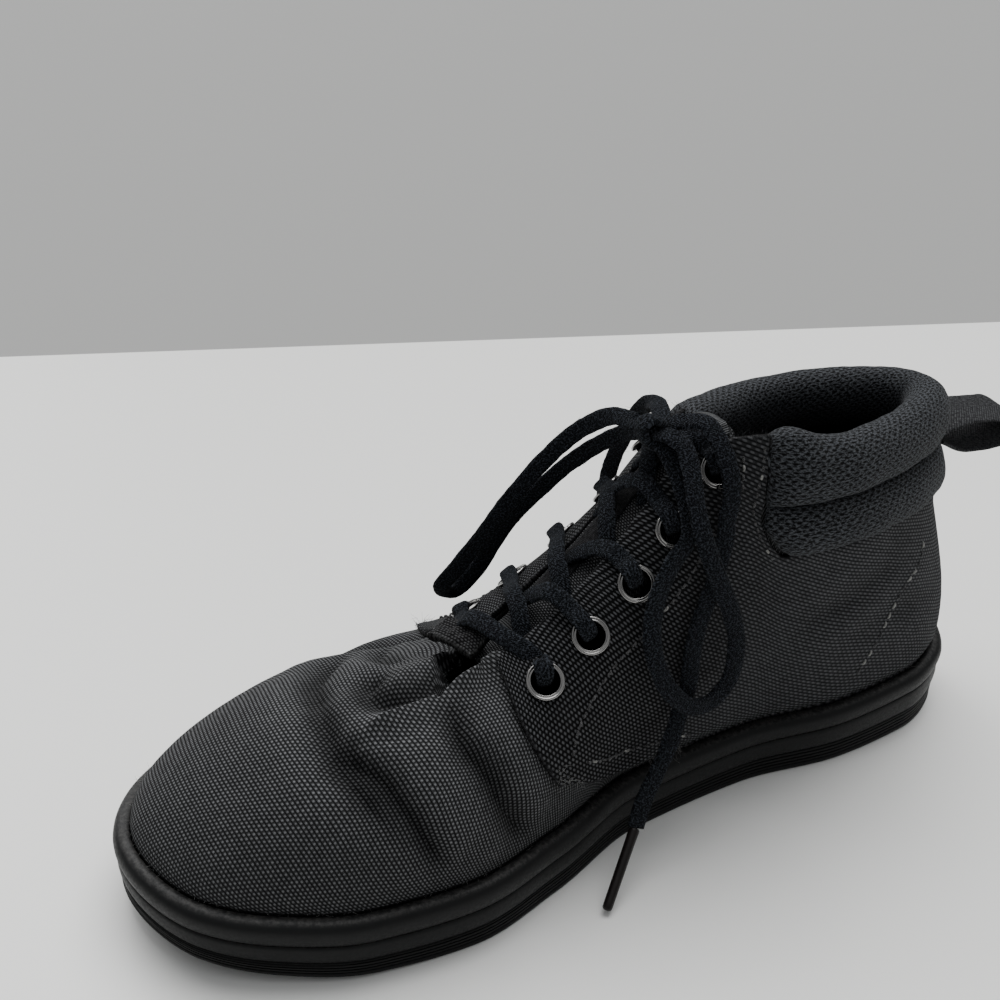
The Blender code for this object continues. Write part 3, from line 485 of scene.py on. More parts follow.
def smoothCurve(keys, values, at, period=None):
    keys, values, at = np.asarray(keys, float), np.asarray(values, float), np.asarray(at, float)
    values = values.reshape(len(keys), -1)
    if period:
        keys = np.r_[keys[-2:] - period, keys, keys[:3] + period]
        values = np.vstack([values[-2:], values, values[:3]])
        at = (at - keys[2]) % period + keys[2]
    slope = np.zeros_like(values)
    step = np.diff(keys)[:, None]
    rate = np.diff(values, axis=0) / step
    slope[1:-1] = (rate[:-1] * step[1:] + rate[1:] * step[:-1]) / (step[1:] + step[:-1])
    slope[0], slope[-1] = rate[0], rate[-1]
    i = np.clip(np.searchsorted(keys, at, side="right") - 1, 0, len(keys) - 2)
    h = (keys[i + 1] - keys[i])[..., None]
    s = ((at - keys[i]) / (keys[i + 1] - keys[i]))[..., None]
    a, b = values[i], values[i + 1]
    return (a * (1 + 2 * s) * (1 - s) ** 2 + b * s * s * (3 - 2 * s)
            + h * slope[i] * s * (1 - s) ** 2 - h * slope[i + 1] * s * s * (1 - s))


def steadyCurve(keys, values, at):
    keys, values = np.asarray(keys, float), np.asarray(values, float)
    step, rise = np.diff(keys), np.diff(values)
    rate = rise / step
    slope = np.zeros_like(values)
    same = rate[:-1] * rate[1:] > 0
    w1, w2 = 2 * step[1:] + step[:-1], step[1:] + 2 * step[:-1]
    safe = np.where(same, rate[:-1], 1), np.where(same, rate[1:], 1)
    slope[1:-1] = np.where(same, (w1 + w2) / (w1 / safe[0] + w2 / safe[1]), 0)
    slope[0], slope[-1] = rate[0], rate[-1]
    i = np.clip(np.searchsorted(keys, at, side="right") - 1, 0, len(keys) - 2)
    s = (at - keys[i]) / step[i]
    return (values[i] * (1 + 2 * s) * (1 - s) ** 2 + values[i + 1] * s * s * (3 - 2 * s)
            + step[i] * (slope[i] * s * (1 - s) ** 2 - slope[i + 1] * s * s * (1 - s)))


def stationOf(turn):
    return (1 + np.cos(np.radians(turn))) / 2


def plan(turn, inset=0.0):
    turn = np.asarray(turn, float)

    def plain(angle):
        t = stationOf(angle)
        near = np.sqrt(np.maximum(steadyCurve(planWidths["station"], np.square(planWidths["medial"]), t), 0))
        far = np.sqrt(np.maximum(steadyCurve(planWidths["station"], np.square(planWidths["lateral"]), t), 0))
        side = np.where(np.sin(np.radians(angle)) >= 0, near, -far)
        return np.stack([side, soleLength * (0.5 - t)], axis=-1)

    along = plain(turn + 1.5) - plain(turn - 1.5)
    along /= np.linalg.norm(along, axis=-1, keepdims=True)
    outward = np.stack([along[..., 1], -along[..., 0]], axis=-1)
    return plain(turn) - outward * np.asarray(inset)[..., None], outward


def underside(turn):
    t = stationOf(turn)
    return 7.8 * np.clip((t - 0.72) / 0.28, 0, 1) ** 2 + 2.3 * np.clip((0.08 - t) / 0.08, 0, 1) ** 2


def lipHeight(turn):
    return steadyCurve(lipLevels["station"], lipLevels["height"], stationOf(turn))


def sectionRing():
    lateral = [(360 - row[0],) + row[1:4] + (360 - row[4],) + row[5:] for row in lateralSections[::-1]]
    rows = np.array(list(medialSections) + lateral, float)
    rows[:, 4] -= rows[:, 0]
    return rows


sections = sectionRing()


def lastPoint(turn, v):
    turn, v = np.broadcast_arrays(np.asarray(turn, float), np.asarray(v, float))
    read = smoothCurve(sections[:, 0], sections[:, 1:], turn, period=360)
    foot, outward = plan(turn, lipInset + touch)
    start = np.concatenate([foot, (underside(turn) + lipHeight(turn))[..., None]], axis=-1)
    end = read[..., 0:3]
    aim = np.radians(read[..., 3] + turn)
    facing = np.stack([np.sin(aim), -np.cos(aim), np.zeros_like(aim)], axis=-1)
    low = start + np.concatenate([outward * read[..., 4:5], read[..., 5:6]], axis=-1)
    high = end + facing * read[..., 6:7]
    high[..., 2] -= read[..., 7]
    s = np.maximum(v, 0)[..., None]
    return start * (1 - s) ** 3 + 3 * low * s * (1 - s) ** 2 + 3 * high * s * s * (1 - s) + end * s ** 3


def lastNormal(turn, v):
    turn, v = np.broadcast_arrays(np.asarray(turn, float), np.asarray(v, float))
    across = lastPoint(turn + 0.4, v) - lastPoint(turn - 0.4, v)
    rise = lastPoint(turn, np.clip(v + 0.004, 0, 1)) - lastPoint(turn, np.clip(v - 0.004, 0, 1))
    normal = np.cross(across, rise)
    return normal / np.linalg.norm(normal, axis=-1, keepdims=True)


def lastShell(turn, v, offset=0.0):
    return lastPoint(turn, v) + lastNormal(turn, v) * np.asarray(offset)[..., None]


def levelOn(turn, height):  # found by halving
    turn, height = np.broadcast_arrays(np.asarray(turn, float), np.asarray(height, float))
    low, high = np.zeros_like(turn), np.ones_like(turn)
    for _ in range(24):
        middle = (low + high) / 2
        under = lastPoint(turn, middle)[..., 2] < height
        low, high = np.where(under, middle, low), np.where(under, high, middle)
    return (low + high) / 2


def offHeel(turn):
    return np.abs(np.asarray(turn, float) % 360 - 180)


def turned(turn, side):
    return np.asarray(turn, float) if side == "medial" else 360 - np.asarray(turn, float)


def unit(vectors):
    return vectors / np.maximum(np.linalg.norm(vectors, axis=-1, keepdims=True), 1e-9)


def runAlong(line):  # distance from its first point to each of its points
    return np.r_[0, np.cumsum(np.linalg.norm(np.diff(line, axis=0), axis=1))]


def paired(values):
    return np.stack(np.broadcast_arrays(*values), axis=-1)


def roundAngles(count):
    return np.arange(count) * 2 * np.pi / count


def ease(value):
    value = np.clip(value, 0, 1)
    return value * value * (3 - 2 * value)


def lumps(points, size, seed):
    return np.array([mathNoise.noise(Vector(p) / size + Vector((seed, seed * 1.7, seed * 0.3)))
                     for p in np.asarray(points).reshape(-1, 3)]).reshape(np.asarray(points).shape[:-1])


def gridFaces(rows, columns, aroundColumns=False, aroundRows=False, start=0):
    r = np.arange(rows if aroundRows else rows - 1)[:, None]
    c = np.arange(columns if aroundColumns else columns - 1)[None, :]
    r2, c2 = (r + 1) % rows, (c + 1) % columns
    quads = [r * columns + c, r * columns + c2, r2 * columns + c2, r2 * columns + c]
    return (np.stack(quads, axis=-1).reshape(-1, 4) + start).tolist()


def closedSheet(outer, inner, faces):
    count = len(outer)
    edges = {(a, b) for face in faces for a, b in zip(face, face[1:] + face[:1])}
    rim = [[b, a, a + count, b + count] for a, b in edges if (b, a) not in edges]
    rim.sort()
    back = [[corner + count for corner in reversed(face)] for face in faces]
    return np.concatenate([outer, inner]), faces + rim + back


def nearestOn(points, line):
    best = np.full(len(points), 1e9)
    share, foot, along = np.zeros(len(points)), np.zeros((len(points), 3)), np.zeros((len(points), 3))
    run = runAlong(line)
    for k in range(len(line) - 1):
        step = line[k + 1] - line[k]
        s = np.clip((points - line[k]) @ step / max(step @ step, 1e-9), 0, 1)
        spot = line[k] + s[:, None] * step
        far = np.linalg.norm(points - spot, axis=1)
        closer = far < best
        best[closer], foot[closer], along[closer] = far[closer], spot[closer], step / np.linalg.norm(step)
        share[closer] = ((run[k] + s * (run[k + 1] - run[k])) / run[-1])[closer]
    return best, share, foot, along


def makePiece(name, points, faces, materials,
              fabric=None, edge=None, looks=None, fold=None, crisp=None):
    mesh = bpy.data.meshes.new(name)
    mesh.from_pydata((np.asarray(points, float) * mm).tolist(), [], faces)
    mesh.update()
    if fabric is not None:
        full = np.zeros((len(points), 3))
        fabric = np.asarray(fabric, float).reshape(-1, np.shape(fabric)[-1])
        full[:len(fabric), :fabric.shape[1]] = fabric
        if len(fabric) * 2 == len(full):
            full[len(fabric):] = full[:len(fabric)]
        mesh.attributes.new("fabric", "FLOAT_VECTOR", "POINT").data.foreach_set("vector", full.ravel())
    if edge is not None:
        full = np.full(len(points), 9.0)
        full[:len(edge)] = edge
        if len(edge) * 2 == len(full):
            full[len(edge):] = edge
        mesh.attributes.new("edge", "FLOAT", "POINT").data.foreach_set("value", full)
    if fold is not None:
        full = np.zeros(len(points))
        full[:len(fold)] = fold
        mesh.attributes.new("fold", "FLOAT", "POINT").data.foreach_set("value", full)
    mesh.shade_smooth()
    if crisp:
        mesh.set_sharp_from_angle(angle=math.radians(crisp))
    for material in materials:
        mesh.materials.append(material)
    if looks is not None:
        mesh.polygons.foreach_set("material_index", np.asarray(looks, np.int32))
    piece = bpy.data.objects.new(name, mesh)
    bpy.context.collection.objects.link(piece)
    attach(piece, "root")
    return piece


def joined(parts):
    points, faces, count = [], [], 0
    for somePoints, someFaces in parts:
        points.append(somePoints)
        faces += [[corner + count for corner in face] for face in someFaces]
        count += len(somePoints)
    return np.concatenate(points), faces


print("upper")

# troughs of the worn vamp: turn and v along them, depth, half width, rise of the ridge before and after
vampCreases = (
    {"path": ((-62, 0.42), (-45, 0.556), (-28, 0.62), (-11.5, 0.662), (9.8, 0.642), (21, 0.592),
              (35.7, 0.505), (45.4, 0.405), (54, 0.24)),
     "deep": 3.8, "wide": 5.0, "before": 0.9, "after": 0.6},
    {"path": ((19, 0.68), (21.8, 0.63), (36.9, 0.56), (47, 0.46), (55.8, 0.28), (60.5, 0.1)),
     "deep": 3.4, "wide": 4.0, "before": 0.5, "after": 0.6},
    {"path": ((24, 0.86), (20, 0.82), (12, 0.775), (2, 0.765), (-12, 0.79), (-20, 0.81)),
     "deep": 5.2, "wide": 5.8, "before": 0.2, "after": 0.4, "open": True},
    {"path": ((31.3, 0.843), (43.4, 0.772), (52, 0.665), (58.6, 0.569), (66.4, 0.336), (72.8, 0.039)),
     "deep": 3.2, "wide": 4.6, "before": 0.6, "after": 1.3},
    {"path": ((62, 0.99), (50, 0.975), (38.5, 0.93), (30, 0.855), (22.5, 0.765), (20.5, 0.69), (22, 0.65)),
     "deep": -4.3, "wide": 4.3, "before": 0.0, "after": 0.0, "open": True},
    {"path": ((32, 0.74), (42, 0.65), (51, 0.5), (58, 0.32), (63, 0.15)),
     "deep": -1.6, "wide": 7.5, "before": 0.0, "after": 0.0},
    {"path": ((-52, 0.2), (-60, 0.32), (-66, 0.5), (-70, 0.66)),
     "deep": 2.4, "wide": 4.6, "before": 0.7, "after": 0.7},
    {"path": ((-30, 0.85), (-42, 0.76), (-52, 0.66), (-62, 0.55)),
     "deep": 2.6, "wide": 4.4, "before": 0.8, "after": 0.6},
)
# hollow in front of the tongue, seen from above
throatPit = ((23.6, -61.6), (20.9, -56.6), (19.9, -51.0), (18.8, -46.0), (18.6, -41.0), (8.0, -42.0),
             (1.0, -47.0), (3.6, -53.6), (9.5, -56.2), (16.5, -59.4))
upperShape = {"rows": 112, "innerRows": 28, "underCollar": 5.0, "pitDepth": 7.5, "pitHeight": 56, "open": 2.6}
sagShape = {"broad": 4.5, "dip": 1.4, "dipAt": -49}

quarterCreases = (
    {"path": ((139.5, 0.495), (126, 0.43), (112.7, 0.323)),
     "deep": 0.9, "wide": 6.0, "before": 0.5, "after": 0.4},
    {"path": ((150, 0.25), (136, 0.31), (120, 0.26)),
     "deep": 0.6, "wide": 5.0, "before": 0.3, "after": 0.3},
    {"path": ((-118, 0.36), (-130, 0.42), (-145, 0.4)),
     "deep": 0.8, "wide": 6.0, "before": 0.4, "after": 0.4},
)


def smoothPath(path, count=160):
    path = np.array(path, float)
    keys = runAlong(path * (1, 90))  # turns and levels on one scale
    fine = smoothCurve(keys, path, np.linspace(0, keys[-1], count))
    return fine[:, 0], fine[:, 1]


def creaseLift(points, normals, creases, share=1.0):
    flat, faces = points.reshape(-1, 3), normals.reshape(-1, 3)
    lift = np.zeros(len(flat))
    for crease in creases:
        line = lastPoint(*smoothPath(crease["path"], 48))
        far, place, foot, along = nearestOn(flat, line)
        beside = np.sum(np.cross(along, faces) * (flat - foot), axis=1)
        fade = ease((1 - place) / 0.22) * (1 if crease.get("open") else ease(place / 0.22))
        wide = crease["wide"]
        lift -= fade * crease["deep"] * (0.55 * np.exp(-(far / wide) ** 2) + 0.45 * np.exp(-2.2 * far / wide))
        for key, sign in (("before", 1.0), ("after", -1.0)):
            ridge = np.exp(-((far - 2.0 * wide) / (1.25 * wide)) ** 2)
            lift += fade * crease[key] * ridge * ease(sign * beside / wide)
    return (lift * share).reshape(points.shape[:-1])


def insideOf(outline, points):  # depth inside it, less than 0 outside
    outline = np.array(outline, float)
    ends = np.roll(outline, -1, axis=0)
    x, y = points[:, 0], points[:, 1]
    hits = np.zeros(len(points), int)
    far = np.full(len(points), 1e9)
    for (x1, y1), (x2, y2) in zip(outline, ends):
        between = (y1 > y) != (y2 > y)
        at = x1 + (y - y1) * (x2 - x1) / np.where(y2 == y1, 1e-9, y2 - y1)
        hits += between & (x < at)
        step = np.array((x2 - x1, y2 - y1))
        share = np.clip(((x - x1) * step[0] + (y - y1) * step[1]) / (step @ step), 0, 1)
        far = np.minimum(far, np.hypot(x - x1 - share * step[0], y - y1 - share * step[1]))
    return np.where(hits % 2 == 1, far, -far)


def farSag(points):  # the far side of the throat sinks under the laces
    x, y, z = points[..., 0], points[..., 1], points[..., 2]
    across = ease((9 - x) / 13) * ease((z - 34) / 16)
    broad = sagShape["broad"] * ease((y + 112) / 42) * ease((38 - y) / 34)
    return -(broad + sagShape["dip"] * np.exp(-((y - sagShape["dipAt"]) / 12) ** 2)) * across


def topEdge(turn, drop):
    crown = lastPoint(turn, 1.0)[..., 2]
    return np.where(offHeel(turn) > 180 - 108.4, 1.0, levelOn(turn, crown - drop))


def eyeletPlace(side, place, height=0.0):
    turn, v = eyelets[place]
    v -= 0.03 if side == "lateral" and place < 3 else 0.0
    turn = float(turned(turn, side))
    normal = lastNormal(turn, v)
    point = lastPoint(turn, v)
    return point + normal * (touch + quarterThick + height + farSag(point)), normal


eyelets = ((73.4, 0.74), (82.5, 0.76), (91.7, 0.775), (99.0, 0.803), (106.4, 0.848))
holeCentres = [eyeletPlace(side, k) for side in bothSides for k in range(len(eyelets))]


def awayFromHoles(points, faces, radius=4.6):
    middles = np.array([points[list(face)].mean(axis=0) for face in faces])
    keep = np.ones(len(faces), bool)
    for centre, normal in holeCentres:
        gap = middles - centre
        depth = gap @ normal
        off = np.linalg.norm(gap - depth[:, None] * normal, axis=1)
        keep &= ~((off < radius) & (np.abs(depth) < 8))
    return [face for face, stays in zip(faces, keep) if stays], keep


def buildUpper():
    turns = np.r_[np.arange(-100, 100.01, 0.62), np.arange(102, 108, 1.5), 108.2, 108.6,
                  np.arange(110, 251, 2.5), 251.4, 251.8, np.arange(253, 259, 1.5)]
    levels = np.linspace(0, 1, upperShape["rows"])[:, None] * topEdge(turns, upperShape["underCollar"])
    base, normals = lastPoint(turns, levels), lastNormal(turns, levels)
    front = ease((110 - np.abs((turns + 180) % 360 - 180)) / 30)
    folded = creaseLift(base, normals, vampCreases) * ease(levels / 0.12)
    lift = folded + farSag(base)
    pit = insideOf(throatPit, base[..., :2].reshape(-1, 2)).reshape(levels.shape)
    pit = np.where(base[..., 2] > upperShape["pitHeight"], pit, -9.0)
    lift -= upperShape["pitDepth"] * ease((pit + 0.4) / 3.0)
    lift += 0.22 * lumps(base, 14.0, 3.0) * ease(levels / 0.1) + 0.08 * lumps(base, 4.0, 5.0) * front
    outer = base + normals * lift[..., None]
    foot, outward = plan(turns, lipInset + touch)
    lip = (underside(turns) + lipHeight(turns))[:, None]
    low = np.concatenate([foot, lip - 5], axis=1)[None]
    picked = np.linspace(len(levels) - 1, 0, upperShape["innerRows"]).astype(int)
    inner = base[picked] + normals[picked] * (lift[picked] - wallThick)[..., None]
    lowIn = np.concatenate([foot - outward * wallThick, lip - 5], axis=1)[None]
    rings = np.concatenate([low, outer, inner, lowIn])
    rows, columns = rings.shape[:2]
    points = rings.reshape(-1, 3)
    faces = gridFaces(rows, columns, True, True)
    # cloth laid out from the throat's edge in the section's own direction
    step = np.r_[np.zeros((1, columns)), np.linalg.norm(np.diff(base[::-1], axis=0), axis=2)]
    run = np.cumsum(step, axis=0)[::-1]
    throat = lastPoint(turns, 1.0)[:, :2]
    way = unit(foot - throat)
    laid = throat + run[..., None] * way
    fabric = np.zeros((rows, columns, 2))
    fabric[1:len(outer) + 1] = laid
    fabric[0] = laid[0] + way * 5
    fabric[len(outer) + 1:] = paired((2.0 * turns, 8.0 * np.arange(rows - len(outer) - 1)[:, None]))
    edge = np.full((rows, columns), 9.0)
    edge[:len(outer) + 1] = np.concatenate([np.zeros((1, columns)), base[..., 2] - lip[:, 0]])
    looks = np.repeat((np.arange(rows) >= len(outer)).astype(int), columns)
    faces, keep = awayFromHoles(points, faces)
    creased = np.zeros(rings.shape[:2])
    creased[1:len(outer) + 1] = folded
    deep = np.full(rings.shape[:2], -9.0)
    deep[1:len(outer) + 1] = pit
    deep[len(outer) + 1:-1] = pit[picked]
    kept = [k for k, face in enumerate(faces) if deep.ravel()[face].min() < upperShape["open"]]
    piece = makePiece("upper_cloth", points, [faces[k] for k in kept], [vampCloth, threads["liningKnit"]],
                      fabric.reshape(-1, 2), edge.ravel(), looks[keep][kept],
                      creased.ravel())
    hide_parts("upper")


buildUpper()

print("quarters")

frontEdge = {"v": (0.246, 0.502, 0.72, 0.955, 1.0), "turn": (75.7, 70.4, 65.4, 60.4, 59.0)}
hemEdge = {"v": (0.0, 0.008, 0.085, 0.246), "turn": (92.0, 91.5, 84.3, 75.7)}
cutOut = {"v": (0.573, 0.61, 0.665, 0.743, 0.87, 1.0), "turn": (111.1, 109.7, 109.3, 110.1, 111.2, 111.9)}
tierEdge = {"turn": (111.1, 115.1, 126.3, 138.8, 162.1, 180.0), "v": (0.573, 0.606, 0.634, 0.643, 0.609, 0.6)}


def leftOf(v):
    corner = frontEdge["v"][0]
    return np.where(v >= corner, steadyCurve(frontEdge["v"], frontEdge["turn"], np.clip(v, corner, 1)),
                    steadyCurve(hemEdge["v"], hemEdge["turn"], np.clip(v, 0.0, corner)))


def edgeShares(length, count, first=(0.0, 0.15, 0.4, 0.75, 1.2, 2.0), last=(2.0, 1.2, 0.75, 0.4, 0.15, 0.0)):
    start, end = np.array(first) / length, 1 - np.array(last) / length
    return np.r_[start, np.linspace(start[-1], end[0], count)[1:-1], end]


def quarterOffset(far, points, normals):
    roll = np.sqrt(np.clip(1 - (1 - np.clip(far / 0.9, 0, 1)) ** 2, 0, 1))
    hem = 0.35 * ease((4.6 - far) / 0.9) - 0.28 * np.exp(-((far - 3.6) / 0.45) ** 2)
    lift = creaseLift(points, normals, quarterCreases) + creaseLift(points, normals, vampCreases, 0.35)
    lift += 0.2 * lumps(points, 16.0, 9.0) + 0.06 * lumps(points, 3.5, 2.0)
    return lift, touch + 0.05 + (quarterThick - 0.05) * roll + hem * roll


def buildQuarter(side):
    notch, rearStart = cutOut["v"][0], cutOut["turn"][0]  # the collar's lower corner
    lowRows = edgeShares(70, 46, first=(0.0, 1.0, 2.0)) * notch
    highRows = notch + edgeShares(45, 34, first=(0.6, 1.2, 2.0)) * (1 - notch)
    rows = np.r_[lowRows, highRows]
    cut = np.r_[lowRows * 0 + rearStart, steadyCurve(cutOut["v"], cutOut["turn"], highRows)]
    cut[:len(lowRows)] += 1.9 * (1 - lowRows / notch)
    left = leftOf(rows)
    shares = edgeShares(80, 76)
    turns = left[:, None] + (cut - left)[:, None] * shares
    levels = np.broadcast_to(rows[:, None], turns.shape)
    across = np.linspace(0, 1, 60)[1:] ** 1.05
    rearTurns = cut[:len(lowRows), None] + (180.2 - cut[:len(lowRows), None]) * across
    rearTop = steadyCurve(tierEdge["turn"], tierEdge["v"], np.clip(rearStart + 68.9 * across, rearStart, 180))
    rearLevels = (lowRows / notch)[:, None] * rearTop
    frontCount = turns.size
    faces = gridFaces(*turns.shape)
    width = turns.shape[1]
    rear = gridFaces(*rearTurns.shape, start=frontCount)
    seam = [[r * width + width - 1, frontCount + r * len(across), frontCount + (r + 1) * len(across),
             (r + 1) * width + width - 1] for r in range(len(lowRows) - 1)]
    faces = faces + rear + seam
    spread = np.r_[turns.ravel(), rearTurns.ravel()]
    allTurns = turned(spread, side)
    allLevels = np.r_[levels.ravel(), rearLevels.ravel()]
    base, normals = lastPoint(allTurns, allLevels), lastNormal(allTurns, allLevels)
    down, notchDown = np.linspace(1, 0, 60), np.linspace(1, notch, 40)
    rearAlong = np.linspace(rearStart, 180, 80)
    borders = ((leftOf(down), down), (steadyCurve(cutOut["v"], cutOut["turn"], notchDown), notchDown),
               (rearAlong, steadyCurve(tierEdge["turn"], tierEdge["v"], rearAlong)),
               (np.linspace(59, 111.9, 60), np.ones(60)))
    far = np.full(len(base), 99.0)
    for someTurns, someLevels in borders:
        far = np.minimum(far, nearestOn(base, lastPoint(turned(someTurns, side), someLevels))[0])
    lift, offset = quarterOffset(far, base, normals)
    settle = ease(allLevels / 0.05)
    offset = 0.05 + (offset - 0.05) * settle
    lift = lift * settle
    sag = farSag(base)
    outer = base + normals * (offset + lift + sag)[:, None]
    inner = base + normals * (touch * 0.6 * settle + lift + sag - 0.02)[:, None]
    low = allLevels < 1e-6
    outer[low, 2] -= 1.5
    inner[low, 2] -= 1.5
    if side == "lateral":
        faces = [face[::-1] for face in faces]
    points, faces = closedSheet(outer, inner, faces)
    faces, _ = awayFromHoles(points, faces)
    # cloth laid out level along the side and up the section
    marks = np.linspace(55, 182, 300)
    run = runAlong(lastPoint(turned(marks, side), 0.4))
    swing = np.interp(marks[1:], (85, 125, 150), (0.58, 0.26, 0.37))  # the grain turns towards the heel
    u = np.interp(spread, marks, run)
    ribs = np.interp(spread, marks, np.r_[0, np.cumsum(np.diff(run) * swing)])
    fan = np.linspace(0, 1, 40)
    heights = np.array([runAlong(lastPoint(turned(t, side), fan)) for t in np.arange(55, 184, 3.0)])
    spot = np.clip((spread - 55) / 3.0, 0, len(heights) - 1.001)
    k = spot.astype(int)
    part = allLevels * 39
    j = np.clip(part.astype(int), 0, 38)
    part, spot = part - j, spot - k
    w = ((heights[k, j] * (1 - part) + heights[k, j + 1] * part) * (1 - spot)
         + (heights[k + 1, j] * (1 - part) + heights[k + 1, j + 1] * part) * spot)
    name = "quarter_" + side
    piece = makePiece(name + "_cloth", points, faces, [quarterCloth],
                      np.stack([0.94 * u - 0.34 * w, 1.05 * (ribs + 0.7 * w)], axis=1), far, fold=lift)
    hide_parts(name)


for side in bothSides:
    buildQuarter(side)

print("sole")

# side of the cup from the floor up: inset and level (0 floor, 1 over the ribs, 2 over the band, 3 lip)
soleSide = (
    (1.6, 0.0), (0.8, 0.015), (0.45, 0.06), (0.4, 0.2), (0.55, 0.235), (1.25, 0.26), (1.25, 0.285),
    (0.55, 0.31), (0.45, 0.36), (0.55, 0.41), (1.25, 0.435), (1.25, 0.46), (0.55, 0.485), (0.45, 0.535),
    (0.55, 0.585), (1.25, 0.61), (1.25, 0.635), (0.55, 0.66), (0.45, 0.71), (0.6, 0.76), (1.3, 0.785),
    (1.3, 0.81), (0.65, 0.835), (0.55, 0.885), (0.75, 0.93), (1.6, 0.965), (1.6, 0.99), (0.7, 1.02),
    (0.25, 1.07), (0.0, 1.25), (-0.15, 1.5), (0.0, 1.75), (0.2, 1.9), (0.55, 1.955), (1.25, 1.985),
    (1.3, 2.01), (0.5, 2.035), (0.0, 2.08), (-0.35, 2.2), (-0.6, 2.38), (-0.65, 2.55), (-0.45, 2.7),
    (0.05, 2.83), (0.8, 2.93), (1.7, 2.985), (2.7, 3.005), (3.5, 2.99), (3.95, 2.95), (4.05, 2.85),
)
soleShares = {"station": (0.0, 0.5, 1.0), "ribs": (0.34, 0.34, 0.26), "band": (0.37, 0.31, 0.32)}


def soleHeight(turn, level):
    t = stationOf(turn)
    ribs = steadyCurve(soleShares["station"], soleShares["ribs"], t)
    band = steadyCurve(soleShares["station"], soleShares["band"], t)
    share = np.clip(level, 0, 1) * ribs + np.clip(level - 1, 0, 1) * band
    share = share + np.clip(level - 2, 0, 2) * (1 - ribs - band)
    return underside(turn) + lipHeight(turn) * share


def ladder(start, count, flip=False):
    half = count // 2
    faces = [[start, start + 1, start + count - 1]]
    faces += [[start + k, start + k + 1, start + count - k - 1, start + count - k]
              for k in range(1, half - 1)]
    faces.append([start + half - 1, start + half, start + half + 1])
    return [face[::-1] for face in faces] if flip else faces


def planRing(turns, inset, height):
    flat, _ = plan(turns, inset)
    return np.concatenate([flat, np.broadcast_to(height, turns.shape)[:, None]], axis=1)


def buildSole():
    turns = np.arange(0, 360, 1.0)
    rings = [planRing(turns, inset, soleHeight(turns, level)) for inset, level in soleSide]
    rings.append(planRing(turns, lipInset, underside(turns) + cupFloor + 1))
    rings.append(planRing(turns, lipInset + 1, underside(turns) + cupFloor))
    rings = np.array(rings)
    rows, columns = rings.shape[:2]
    points = rings.reshape(-1, 3)
    faces = gridFaces(rows, columns, True)
    faces += ladder(0, columns, True) + ladder((rows - 1) * columns, columns)
    level = np.array([row[1] for row in soleSide] + [2.0, 1.0])
    # the lip's crest and the groove under it wear
    near = np.minimum(np.abs(level - 2.99), np.where(level < 2.05, np.abs(level - 2.0), 9)) * 8
    edge = np.repeat(near, columns)
    piece = makePiece("cupsole_rubber", points, faces, [rubber], None, edge, crisp=50)
    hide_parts("cupsole")


def buildFootbed():
    turns = np.linspace(2.0, 178.0, 90)
    inset = lipInset + wallThick + 5 * touch
    near, _ = plan(turns, inset)
    far, _ = plan(360 - turns, inset)
    w = np.linspace(0, 1, 41)
    level = far[:, None, :] + (near - far)[:, None, :] * w[None, :, None]
    side = 2 * w - 1
    tall = (underside(turns) + cupFloor + touch + 4.0)[:, None] + 3.0 * np.abs(side) ** 4
    arch = 4.0 * np.exp(-((level[..., 1] - 35) / 30) ** 2) * ease(side - 0.1)
    top = np.concatenate([level, (tall + arch)[..., None]], axis=-1)
    bottom = top.copy()
    bottom[..., 2] = (underside(turns) + cupFloor + touch)[:, None]
    faces = gridFaces(*top.shape[:2])
    points, faces = closedSheet(top.reshape(-1, 3), bottom.reshape(-1, 3), faces)
    piece = makePiece("footbed", points, faces, [threads["footbedCloth"]],
                      level.reshape(-1, 2))
    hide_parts("insole")


buildSole()
buildFootbed()

print("collar")

collarShape = {
    "off": (0.0, 20.0, 45.0, 70.0), "low": (81.0, 83.0, 85.0, 85.5), "seam": (98.0, 98.5, 101.0, 101.5),
    "frontHeight": (84, 88, 95, 101, 122), "frontTurn": (113.0, 110.9, 109.4, 110.2, 112.0), "roll": 5.0,
}


def collarProfile(off, crown):
    low = np.interp(off, collarShape["off"], collarShape["low"])
    seam = np.interp(off, collarShape["off"], collarShape["seam"])
    tier, rise = seam - low, crown - seam
    rows = [(low - 0.2, 1.9), (low - 0.1, 3.2), (low + 0.06 * tier, 4.6), (low + 0.2 * tier, 5.9),
            (low + 0.45 * tier, 6.6), (low + 0.7 * tier, 6.1), (low + 0.88 * tier, 4.8), (seam - 0.35, 3.5),
            (seam + 0.1, 2.3), (seam + 0.6, 3.7), (seam + 0.1 * rise, 5.3), (seam + 0.28 * rise, 6.8),
            (seam + 0.5 * rise, 7.4), (seam + 0.72 * rise, 6.9), (seam + 0.9 * rise, 5.2), (crown + 0.4, 2.6),
            (crown + 0.9, -0.2), (crown + 0.3, -3.2), (crown - 1.4, -5.4), (crown - 5, -7.2),
            (crown - 9, -7.5), (crown - 14, -6.3), (crown - 19, -3.7)]
    rows = np.array(rows)
    run = runAlong(rows)
    fine = smoothCurve(run, rows, np.linspace(0, run[-1], 88))
    slot = crown - 4.5
    back = np.array([(crown - 19, -3.05), (slot, -3.05), (slot, 1.9), ((slot + low) / 2, 1.7)])
    return fine, back, run[-1]


